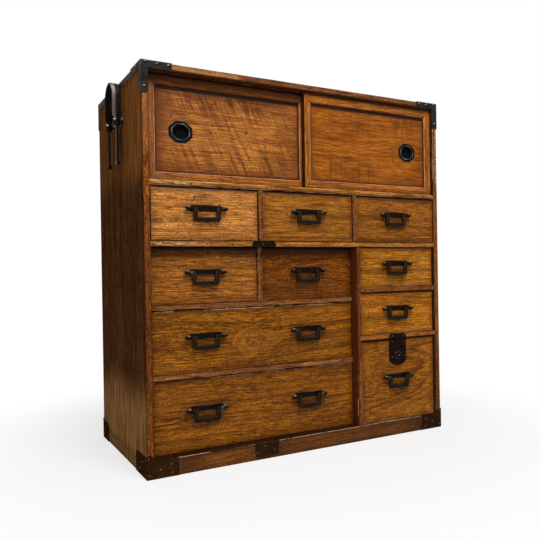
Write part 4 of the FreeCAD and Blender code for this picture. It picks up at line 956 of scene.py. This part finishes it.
sill_wood = lacquered("sill_wood", (160, 98, 34), border=0.3, extra=tenons((-371, 611)),
                      shades=[("thin_low", 4.5, 0.9)], glints=[("thin_high", 1.6, 1.0, (228, 188, 122)),
                                                               ("thin_low", 1.0, 0.6, (206, 160, 120))],
                      **RAIL)
base_wood = lacquered("base_wood", (134, 80, 26), grit=0.55, ring=0.005, heart=(0.2, 0.02), worn=0.3,
                      worn_reach=0.003, extra=stained_base, shades=[("high", 5, 0.7)],
                      glints=[("high", 1.2, 1.0, (226, 196, 168))])
ledge_wood = lacquered("ledge_wood", (58, 32, 14), worn=0.3, face=UNSEEN)
divider_wood = lacquered("divider_wood", (136, 78, 24), **DIVIDER)
pale_divider_wood = lacquered("pale_divider_wood", (164, 98, 26), **DIVIDER)
recess_wood = lacquered("recess_wood", (130, 78, 30), **RECESS,
                        glints=[("thin_low", 0.8, 0.6, (196, 150, 128)), UPPER_GLINT])
pale_recess_wood = lacquered("pale_recess_wood", (152, 92, 36),
                             glints=[("thin_low", 0.8, 0.6, (206, 160, 128)), UPPER_GLINT], **RECESS)
partition_wood = lacquered("partition_wood", (138, 78, 24), border_reach=0.005, face=SET_BACK,
                           extra=dark_cheek, **dict(SHELF, worn=0.35))
bare_wood = lacquered("bare_wood", (186, 148, 100), border=0.1, worn=0.2, line=0.1, sheen=0.05, face=UNSEEN)
back_wood = lacquered("back_wood", (150, 112, 70), border=0.2, worn=0.2, sheen=0.05, ring=0.012, face=UNSEEN)

# Middle tone and figure of each drawer's front
FRONTS = {
    "upper_left": dict(mid=(181, 118, 54), band=0.1, grit=0.6, ring=0.0045, heart=(0.3, 0.02),
                       extra=strokes(((-289, 580), (7, 1.2), 0.95, (44, 20, 24), 0.9),
                                     ((-287, 577), (4, 0.9), 0.3, (44, 20, 24), 0.8),
                                     ((-366, 592), (4, 1), 0.6, (70, 36, 30), 0.7),
                                     ((-262, 533), (6, 0.9), 0.1, (70, 36, 30), 0.6))),
    "upper_middle": dict(mid=(151, 93, 27), holes=0.5, ring=0.0045, heart=(0.25, 0.02)),
    "upper_right": dict(mid=(145, 86, 22), specks=0.5, grit=0.6, ring=0.005, heart=(0.25, 0.02)),
    "small_left": dict(mid=(154, 94, 32), ring=0.005, heart=(0.2, 0.02), rings=0.8,
                       knots=[((-245, 476), (26, 22), 26, 0.0)],
                       extra=strokes(((-231, 366), (6, 0.8), -1.2, (50, 24, 26), 0.8),
                                     ((-242, 462), (17, 8), 0.15, (176, 100, 26), 0.6),
                                     ((-229, 455), (5, 3.5), 0.2, (214, 132, 44), 0.7),
                                     ((-250, 464), (6, 5), 0.2, (112, 54, 14), 0.7),
                                     ((-276, 459), (19, 0.6), 0.75, (160, 112, 66), 0.6),
                                     ((-224, 458), (14, 0.6), -1.0, (160, 112, 66), 0.5))),
    "small_right": dict(mid=(117, 63, 8), specks=0.6, grit=0.6, flecks=0.8, ring=0.005, heart=(0.12, 0.02),
                        wander=0.05, rings=0.8,
                        knots=[((-98, 452), (20, 12), 9, 0.3), ((-60, 440), (26, 16), 12, 0.0)]),
    "wide_upper": dict(mid=(142, 85, 15), ring=0.007, heart=(0.09, 0.03), wander=0.05, rings=0.75,
                       specks=0.45, knots=[((-135, 265), (80, 42), 5, 0.0), ((-330, 262), (34, 12), -9, 0.0)],
                       extra=burl),
    "wide_lower": dict(mid=(138, 81, 14), ring=0.0075, heart=(-0.12, 0.03), wander=0.06, rings=0.75,
                       specks=0.45, knots=[((-308, 109), (9, 11), 9, 0.9), ((-160, 140), (60, 14), 7, 0.0)]),
    "column_upper": dict(mid=(172, 108, 27), specks=0.45, grit=0.6, heart=(0.2, 0.02), wander=0.03),
    "column_lower": dict(mid=(176, 108, 22), specks=0.45, grit=0.6, heart=(0.15, 0.03), wander=0.03),
    "lock": dict(mid=(149, 89, 16), specks=0.5, heart=(0.09, 0.03), sink=0.1, wander=0.05, rings=0.7,
                 # painted shade: the hole behind the keyhole, and the gap over the lock drawer's top
                 extra=strokes(((271, 221), (6, 8), 0, (22, 12, 8), 1.0),
                               ((259, 243), (126, 2.0), 0, (10, 5, 5), 1.0),
                               ((190, 242), (60, 2.4), 0, (10, 5, 5), 1.0))),
}
# The painted highlight line along a front's upper arris (its distance from the edge, strength and tone),
# the painted shadows under the upper edges of each row (reach and strength), and the fronts that are set back
TOP_GLINTS = dict(upper_left=(6.0, 0.7, (186, 146, 120)), upper_middle=(6.4, 0.6, (160, 120, 90)),
                  upper_right=(6.4, 0.4, (140, 100, 70)), wide_upper=(1.2, 0.9, (226, 176, 132)),
                  wide_lower=(1.1, 0.5, (196, 150, 118)))
TOP_SHADES = dict(upper=((4.0, 1.0), (12, 0.35)), small=((8, 0.9), (28, 0.6)), wide=((3.4, 0.8), (12, 0.2)),
                  column=((3.4, 0.9), (9, 0.25)), lock=((3.0, 1.0), (9, 0.25)))
RECESSED = ("small_left", "small_right", "wide_upper", "wide_lower")
for name, finish in FRONTS.items():
    # painted shade along each front's edges, and a painted highlight line along its left arris
    shades = [("high", reach, strength) for reach, strength in TOP_SHADES[name.split("_")[0]]]
    shades += [("start", 2.0, 0.4), ("end", 2.0, 0.5), ("low", 2.0, 0.5)]
    glints = [("start", 1.0, 0.5, (176, 112, 78))]
    if name in TOP_GLINTS:
        glints.append(("high", *TOP_GLINTS[name]))
    pulls = [box_in_mm(node).mean(axis=0).tolist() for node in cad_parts
             if node.startswith(name) and "_bail" in node]
    finish["extra"] = pull_grime_and_shadow(finish.get("extra"), [(x, z - 5) for x, _, z in pulls],
                              0.2 if name == "upper_left" else 0.45)
    front_wood = lacquered(f"{name}_front_wood", face=(SET_BACK if name in RECESSED else FRONT) + MM,
                           shades=shades, glints=glints, **finish)
    boards(f"{name}_drawer_front", front_wood, body=f"{name}_drawer")
    boards(f"{name}_drawer_box", bare_wood, body=f"{name}_drawer")
for side in ("left", "right"):
    boards(f"case_side_{side}", side_wood, front=post_wood)
boards("case_top", top_wood, front=crest_wood)
boards("case_base", lambda number: side_wood if number else ledge_wood, front=base_wood)
boards("case_back", back_wood)
# Woods of the shelves and of the partitions that differ from the rest, by the number of the solid
SHELVES = (rail_wood, pale_recess_wood, recess_wood, pale_divider_wood, divider_wood)
PARTITIONS = {0: partition_wood, 6: recess_wood}
boards("shelves", lambda number: SHELVES[number])
boards("partitions", lambda number: PARTITIONS.get(number, divider_wood))
boards("door_sill", sill_wood)
PANEL = 4                               # the number of a door's panel among its boards
for side, mid, marks, grit, top in (("left", (166, 102, 42), flames, 0.6, (834, 34)),
                                    ("right", (158, 89, 21), faint_bands, 0.5, (841, 16, -7.5))):
    panel = solids(f"door_{side}")[PANEL][0] / MM
    low, high = panel.min(axis=0)[[0, 2]] + 5, panel.max(axis=0)[[0, 2]] - 5
    opening = ((low + high) / 2).tolist(), ((high - low) / 2).tolist()
    panel_wood = lacquered(f"{side}_panel_wood", mid, ring=0.0042, heart=(0.35, 0.04), band=0.2, flecks=0.3,
                           grit=grit, border=0.0, line=0.0, worn=0, face=UNSEEN,
                           extra=within_frame(marks, opening))
    frame_wood = lacquered(f"{side}_frame_wood", (158, 92, 30), ring=0.004, heart=(0.3, 0.02), worn=0.25,
                           border=0.4, border_reach=0.004, line=0.6, holes=0.2, face=UNSEEN, flecks=0.5,
                           extra=door_frame(opening, *top))
    boards(f"door_{side}", lambda number: panel_wood if number == PANEL else frame_wood,
           body=f"door_{side}")


# ------------------------------------------------------------------------------------------
# Iron
# ------------------------------------------------------------------------------------------
def pole_loop_light_and_shade(w):
    """The pole loops carry painted shade, black behind and next to the chest, and a painted highlight,
    grey along their outer half in front and paler near the top, broken into patches."""
    x, y, z = w.parts(w.where)
    outer = w.between(abs(x), 412.5 * MM, 415.5 * MM)
    # painted shade on the back leg and on the half next to the wall
    dark = w.most(w.between(outer, 1.0, 0.0, 0.0, 0.7), w.between(y, -24 * MM, 4 * MM, 0.0, 0.8))
    w.tint((22, 16, 12), dark)
    # painted highlight on the outer half of the front, paler near the top
    grey = w.mix(w.between(z, 832 * MM, 850 * MM), tone(104, 97, 97), tone(190, 186, 184))
    worn = w.between(w.noise(w.where, 55.0, 4, 0.6), 0.25, 0.6, 0.45, 1.0)
    w.tint(grey, outer, w.between(y, -16 * MM, -30 * MM), worn, 0.85)


def eye_glints(w):
    """The eyes of the pole loops have painted highlights at their upper front corners."""
    x, y, z = w.parts(w.where)
    outward = w.whole(abs(x), y, z)
    for across, back in ((418, -41), (418, 28), (403, -42), (403, 27)):
        # painted highlight on each eye's upper front corner
        glint = w.group(HILL, Where=outward, Centre=(across * MM, back * MM, 772 * MM),
                        Size=(3.5 * MM, 5 * MM, 4.5 * MM))["Height"]
        w.tint((226, 222, 218), w.between(glint, 0.2, 0.7, 0.0, 0.9))


black_iron = forged("black_iron", (44, 41, 38), (24, 20, 17), (112, 108, 103), rust=0.45, worn=0.55,
                    metal=0.18)
brown_iron = forged("brown_iron", (46, 29, 16), (62, 36, 18), (140, 108, 80), rust=0.5, worn=0.6, metal=0.0)
loop_iron = forged("loop_iron", (62, 52, 50), (42, 30, 26), (170, 156, 156), rust=0.3, worn=0.6,
                   extra=pole_loop_light_and_shade)
eye_iron = forged("eye_iron", (32, 27, 23), (30, 22, 17), (108, 100, 94), rust=0.3, worn=0.3, metal=0.15,
                  extra=eye_glints)
pull_iron = forged("pull_iron", (24, 18, 13), (34, 21, 11), (96, 82, 66))
pin_iron = forged("pin_iron", (28, 22, 17), (30, 21, 13), (150, 138, 122), rust=0.3)
lock_iron = forged("lock_iron", (26, 15, 9), (36, 20, 10), (110, 92, 74), worn=0.3)
shelf_iron = forged("shelf_iron", (24, 19, 15), (32, 22, 14), (90, 80, 70), worn=0.2)
nail_iron = forged("nail_iron", (20, 19, 18), (26, 22, 19), (236, 232, 226), rust=0.1, flat_iron=False)
low_nail_iron = forged("low_nail_iron", (60, 44, 32), (60, 42, 30), (196, 180, 160), rust=0.3,
                       flat_iron=False)
bail_iron = forged("bail_iron", (28, 20, 13), (42, 27, 15), (150, 136, 118), rust=0.35, flat_iron=False)
cup_iron = forged("cup_iron", (16, 15, 15), (20, 16, 14), (186, 184, 180), rust=0.2, flat_iron=False,
                  metal=0.12)
rosette_iron = forged("rosette_iron", (46, 42, 38), (38, 28, 20), (200, 195, 185), rust=0.2,
                      flat_iron=False)


def placed(form, shift=(0, 0, 0)):
    """A form in millimetres, moved there and turned into metres."""
    places, corners, counts = form
    return (places + shift) * MM, corners, counts


def bail_form():
    """A square bail about its axle's middle, and how bright each point is made: rubbed wear on the bar's
    arrises, and a painted highlight on the acorns' upper front.

    The bar is a section carried round three sides. Each ring runs from a point on the inner outline to
    one on the outer, and across the thickness, with corners eased by |a|^6 + |b|^6 = 1. At its foot the
    outer outline drops to a small point. The axle and its acorns are turned about X.
    """
    around = 24
    inner = np.array([(-22.6, 2.9), (-22, 2.3), (-22, -17.5), (-21.9, -18.1), (-21.6, -18.4), (-21, -18.5),
                      (-4.5, -18.5), (-2, -18.5), (0, -18.5)])
    outer = np.array([(-30.4, 2.9), (-31, 2.3), (-31, -17.5), (-30.9, -24.4), (-27.4, -27.9), (-21, -28),
                      (-4.5, -28), (-2, -29.2), (0, -31)])
    inner = np.concatenate([inner, inner[-2::-1] * (-1, 1)])
    outer = np.concatenate([outer, outer[-2::-1] * (-1, 1)])
    angle = np.linspace(0, 2 * np.pi, around, endpoint=False) + np.pi / around
    ease = (np.abs(np.cos(angle)) ** 6 + np.abs(np.sin(angle)) ** 6) ** (-1 / 6)
    part = (1 + np.cos(angle) * ease)[None, :, None] / 2
    flat = inner[:, None] * (1 - part) + outer[:, None] * part
    thick = np.full(len(inner), 2.75)
    thick[[0, -1]] *= 0.78
    bar = np.stack([flat[..., 0], np.sin(angle) * ease * thick[:, None], flat[..., 1]], axis=-1)
    rubbed = np.tile(np.abs(np.sin(2 * angle)) ** 3 * 0.09, len(inner))
    acorn = smooth_line([(37.1, 3.3), (38.6, 5.0), (41.3, 5.4), (44.6, 4.5), (47.3, 2.9), (48.6, 1.7),
                         (49.4, 1.1)], 22)
    pin = turned([(24, 0), (24, 2.4), (37, 2.4), *acorn.tolist(), (49.5, 0)], (0, 0, 0), (1, 0, 0), 28)
    out = np.hypot(pin[0][:, 1], pin[0][:, 2])
    # painted highlight on the acorns, where they face forward and up
    lit = pin[0][:, 1:] @ (-0.45, 0.89) / np.maximum(out, 1e-3)
    bulge = np.clip((out - 3) / 2, 0, 1) * np.clip(lit * 4 - 3, 0, 1)
    return joined([tube(bar, len(inner), around), pin, mirrored(pin)]), np.concatenate([rubbed, bulge, bulge])


def finger_pull():
    """An eight-sided cup let into a face at y = 0, and how bright each point is made: a painted highlight on
    its lip, stronger in some directions, and a brighter band on the rim's outer edge.

    Its outline is the eight-sided figure with the distance 1 / cos(a), where a is the angle from the
    middle of the nearest side, a little rounded. Rings of that outline are carried from the rim's foot,
    over the rim and its raised lip, down the cup, and back outside it. The cup has a floor inside and
    out, and the two are not joined.
    """
    around, floor = 64, 17
    turn = np.linspace(0, 2 * np.pi, around, endpoint=False) + np.pi / around
    reach = np.cos((turn + np.pi / 8) % (np.pi / 4) - np.pi / 8) ** -0.85
    rings = np.array([(0.64, 0.0), (0.985, 0.0), (1.0, -0.5), (0.99, -1.0), (0.96, -1.25), (0.86, -1.15),
                      (0.80, -1.05), (0.775, -1.25), (0.755, -1.8), (0.735, -2.0), (0.71, -1.9),
                      (0.67, -1.5), (0.63, -0.9), (0.605, 0.4), (0.59, 5.4), (0.56, 6.2), (0.5, 6.5),
                      (0.25, 6.5), (0.2, 7.7), (0.61, 7.7), (0.625, 7.4), (0.635, 3.0)])
    size, depth = rings[:, :1], rings[:, 1:]
    outline = np.stack([27.5 * np.cos(turn) * reach, np.zeros(around), 23.5 * np.sin(turn) * reach], axis=-1)
    places = size[..., None] * outline + depth[..., None] * np.array((0, 1, 0))
    faces = grid_faces(len(rings), around, close_rows=True).reshape(len(rings), around, 4)
    ring = floor * around + np.arange(around)
    form = form_of(places.reshape(-1, 3), np.delete(faces, floor, axis=0).reshape(-1, 4),
                   np.stack([ring, (ring + around)[::-1]]))
    # painted highlight on the lip
    lip = np.clip(1 - np.abs(size - 0.735) / 0.04, 0, 1) * (0.25 + 0.75 * np.cos(turn * 2 + 0.5) ** 4)
    return form, (lip + np.clip(size - 0.95, 0, 1) * 4 * (depth < 0)).ravel()


def rosette():
    """A low dome on the lock plate, with eight cut petals about a button, and how much each point is
    rubbed.

    At a share r of its radius and an angle a its height is (1 - r^2)^0.6, less a cut that goes as
    cos(4a)^8 and fades out towards the middle and the edge, plus the button within a fifth of its radius.
    """
    rings, around = 22, 96
    share, turn = np.meshgrid(np.linspace(1, 0.04, rings), np.linspace(0, 2 * np.pi, around, endpoint=False),
                              indexing="ij")
    cut = np.cos(4 * turn) ** 8 * np.clip((share - 0.22) * 8, 0, 1) * np.clip((0.95 - share) * 8, 0, 1)
    button = np.clip(1 - (share / 0.2) ** 2, 0, 1)
    height = 4.3 * (1 - share ** 2) ** 0.6 * (1 - 0.22 * cut) + 0.5 * button
    front = np.stack([11.4 * share * np.cos(turn), -1.4 - height, 11.4 * share * np.sin(turn)], axis=-1)
    rubbed = np.clip(1.3 * cut * (np.sin(turn * 3 + 1) > -0.3) + 1.4 * button, 0, 1)
    return tube(front, rings, around), rubbed.ravel()


def studs(name, spots, normal, radius, height, material, body="case"):
    """Nail heads at the spots, in millimetres: low domes, each a little sunk behind the face. They carry a
    painted highlight where the place on the dome lies to the left, in front and above, more so the further."""
    rise = np.linspace(0, 1.45, 9)
    dome = np.stack([height * np.sin(rise), radius * np.cos(rise)], axis=1)
    profile = np.concatenate([[(-0.3, 0), (-0.3, radius)], dome, [(height, 0)]])
    form = joined([turned(profile, spot, normal, 18) for spot in spots])
    off = form[0].reshape(len(spots), -1, 3) - np.array(spots, float)[:, None]
    # painted highlight towards the upper left front of each head
    towards = np.clip(off @ (-0.5, -0.5, 0.9) / radius, 0, 1) ** 3
    piece(name, placed(form), body, [material], attributes={"wear_and_glint": towards.ravel()})


# Numbers of the case's irons on its base, which are browner, and on the shelves
LOW_IRONS, SHELF_IRONS = (1, 3, 5, 7, 9), (8, 10)
irons("case_irons", lambda number: brown_iron if number in LOW_IRONS else
      shelf_iron if number in SHELF_IRONS else black_iron, 0.35 * MM)
irons("pole_loop_eyes", eye_iron)
irons("lock_plate", lock_iron, body="lock_drawer")
irons("lock_bolt", lock_iron, body="lock_bolt")
for side in ("left", "right"):
    irons(f"pole_loop_{side}", loop_iron, 0.8 * MM, f"pole_loop_{side}")
DOOR_FACE = dict(left=-163, right=-178)         # y of each door's front, in millimetres
for side, face in DOOR_FACE.items():
    x, _, z = box_in_mm(f"finger_pull_{side}").mean(axis=0)
    form, wear_and_glint = finger_pull()
    piece(f"finger_pull_{side}_cup", placed(form, (x, face, z)), f"door_{side}", [cup_iron],
          [f"finger_pull_{side}"], {"wear_and_glint": wear_and_glint})
for name in FRONTS:
    irons(f"{name}_pull_mount", lambda number: pin_iron if number % 3 else pull_iron, 0.25 * MM,
          f"{name}_drawer")
AXLE_DROP = 5.4                         # from the top of a bail's box down to its axle
for node in list(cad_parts):
    if "_bail" in node:
        (low_x, low_y, _), (high_x, high_y, top) = box_in_mm(node)
        form, wear_and_glint = bail_form()
        axle = (low_x + high_x) / 2, (low_y + high_y) / 2, top - AXLE_DROP
        piece(f"{node}_form", placed(form, axle), node, [bail_iron], [node], {"wear_and_glint": wear_and_glint})

middle = box_in_mm("lock_plate").mean(axis=0)[0]
LOCK_FACE, ROSETTE_HEIGHT = -189, 202   # y of the lock drawer's front, and z of the rosette's middle
form, wear_and_glint = rosette()
piece("lock_rosette", placed(form, (middle, LOCK_FACE, ROSETTE_HEIGHT)), "lock_drawer",
      [rosette_iron], attributes={"wear_and_glint": wear_and_glint})
PROUD = -HALF_DEPTH - IRON              # y of the face of the irons on the front
studs("lock_nails", [(middle + x, LOCK_FACE - 1.5, z) for x, z in
                     ((-17.5, 236), (22, 235.5), (-18, 198), (22.5, 200))],
      (0, -1, 0), 1.5, 0.7, low_nail_iron, "lock_drawer")
studs("strike_nails", [(240.5, PROUD, 251.6), (276.5, PROUD, 251.6)], (0, -1, 0), 1.5, 0.7, low_nail_iron)

def in_from_corner(x_way, y_way, spots):
    """Places counted across and back from a corner of the chest, and up, as places of the chest."""
    return [(x_way * (HALF_WIDTH - across), y_way * (HALF_DEPTH - back), up) for across, back, up in spots]


# Nail heads of the four upper and the four lower corner irons
FOOT_FRONT = {-1: ((2.5, 43), (3, 8.5), (28, 17.5), (51, 26), (53, 8)), 1: ((6, 40), (28, 17), (48, 10))}
for y_way, y_name, lift in ((-1, "front", 1.4), (1, "back", 0.4)):
    upper = (("front", [(across, -IRON, HEIGHT - down) for across, down in
                        ((8.5, 3.5), (58.5, 5), (6, 53.5), (34, 5))], 3.1, lift * 1.3),
             ("side", [(-IRON, back, HEIGHT - down) for back, down in ((8, 50), (34, 6), (66, 6))], 3.1, 1.4),
             ("top", [(across, back, HEIGHT + IRON) for across, back in ((6, 60), (36, 6), (7, 7))],
              2.6, 0.4))
    foot = (("front", [(across, -IRON, up) for across, up in FOOT_FRONT[y_way]], 1.9, lift * 0.6),
            ("side", [(-IRON, back, up) for back, up in ((6, 9), (30, 30), (50, 12), (6, 40))], 1.9, 0.8))
    for x_way, x_name in ((-1, "left"), (1, "right")):
        normals = dict(front=(0, y_way, 0), side=(x_way, 0, 0), top=(0, 0, 1))
        for title, rows, iron in (("upper", upper, nail_iron), ("foot", foot, low_nail_iron)):
            for face, spots, radius, height in rows:
                studs(f"{title}_{y_name}_{x_name}_{face}_nails", in_from_corner(x_way, y_way, spots),
                      normals[face], radius, height, iron)
studs("rail_plate_nails", [(-148, PROUD, 15.5), (-128.5, PROUD, 29), (-104.5, PROUD, 17)], (0, -1, 0), 1.7,
      0.8, low_nail_iron)
studs("shelf_plate_nail", [(-124.5, PROUD, 482.5)], (0, -1, 0), 1.6, 0.6, nail_iron)


# ------------------------------------------------------------------------------------------
# Floor, light and camera
# ------------------------------------------------------------------------------------------
def pale_floor():
    """A round floor that fades to white away from the chest."""
    around = 96
    angle, rings = np.linspace(0, 2 * np.pi, around, endpoint=False), np.array([1.0, 2.0, 4.0, 9.0])[:, None]
    circle = np.stack([rings * np.cos(angle), rings * np.sin(angle), np.zeros((4, around))], axis=-1)
    mesh = new_mesh("floor", form_of(circle.reshape(-1, 3), grid_faces(4, around), np.arange(around)[None]))
    mesh.shade_flat()
    floor = bpy.data.objects.new("floor", mesh)
    bpy.context.scene.collection.objects.link(floor)
    material, w, skin = new_material("pale_floor")
    skin.inputs["Base Color"].default_value = (0.9, 0.9, 0.9, 1)
    skin.inputs["Roughness"].default_value = 0.9
    skin.inputs["Specular IOR Level"].default_value = 0.1
    paths = w.made("LightPath")
    away = w.between(w.vector("LENGTH", w.where), 0.4, 0.95, 0.7, 1.0)
    white = w.made("Emission", {"Color": (1, 1, 1, 1), "Strength": 1.0})["Emission"]
    blend = w.made("MixShader", {0: w.most(paths["Is Camera Ray"], paths["Is Glossy Ray"]) * away,
                                 1: Value(w, skin.outputs[0]), 2: white})["Shader"]
    w.put(material.node_tree.nodes["Material Output"].inputs["Surface"], blend)
    mesh.materials.append(material)


def studio_sky(strength):
    """White to the camera and in reflections, and a plain grey light on everything else."""
    world = bpy.data.worlds.new("studio")
    world.use_nodes = True
    bpy.context.scene.world = world
    w = Wiring(world.node_tree)
    paths = w.made("LightPath")
    plain = w.most(paths["Is Camera Ray"], paths["Is Transmission Ray"], paths["Is Glossy Ray"])
    back = world.node_tree.nodes["Background"]
    back.inputs["Color"].default_value = (1, 1, 1, 1)
    w.put(back.inputs["Strength"], w.between(plain, 0.0, 1.0, strength, 1.0, smooth=False))


def stood(name, data, right, up, back, place):
    """A lamp or a camera that stands at a place and looks away from its back."""
    thing = bpy.data.objects.new(name, data)
    thing.matrix_world = Matrix([*np.stack([right, up, back, place], axis=1).tolist(), (0, 0, 0, 1)])
    bpy.context.scene.collection.objects.link(thing)
    return thing


def lamp(name, place, towards, size, power):
    """A square soft lamp that faces a point."""
    light = bpy.data.lights.new(name, "AREA")
    light.size, light.energy = size, power
    back = np.array(place, float) - np.array(towards, float)
    back /= np.linalg.norm(back)
    right = np.cross((0, 0, 1), back)
    right /= np.linalg.norm(right)
    stood(name, light, right, np.cross(back, right), back, place)


def set_camera():
    """Stands to the left of the chest at half its height."""
    camera = bpy.data.cameras.new("camera")
    camera.lens, camera.sensor_width, camera.clip_start = 40.12, 36, 0.02
    bpy.context.scene.camera = stood(
        "camera", camera, (0.879982, -0.474729, -0.016242), (0.015180, -0.006071, 0.999866),
        (-0.474764, -0.880111, 0.001864), (-0.75637, -1.39008, 0.42769))


pale_floor()
studio_sky(0.3)
lamp("high_lamp", (-0.1, -1.3, 2.15), (-0.05, -0.19, 0.55), 0.8, 35)
lamp("left_lamp", (-2.2, -1.3, 1.1), (-0.3, 0, 0.5), 0.8, 9)
set_camera()
bpy.context.scene.view_settings.view_transform = "Standard"
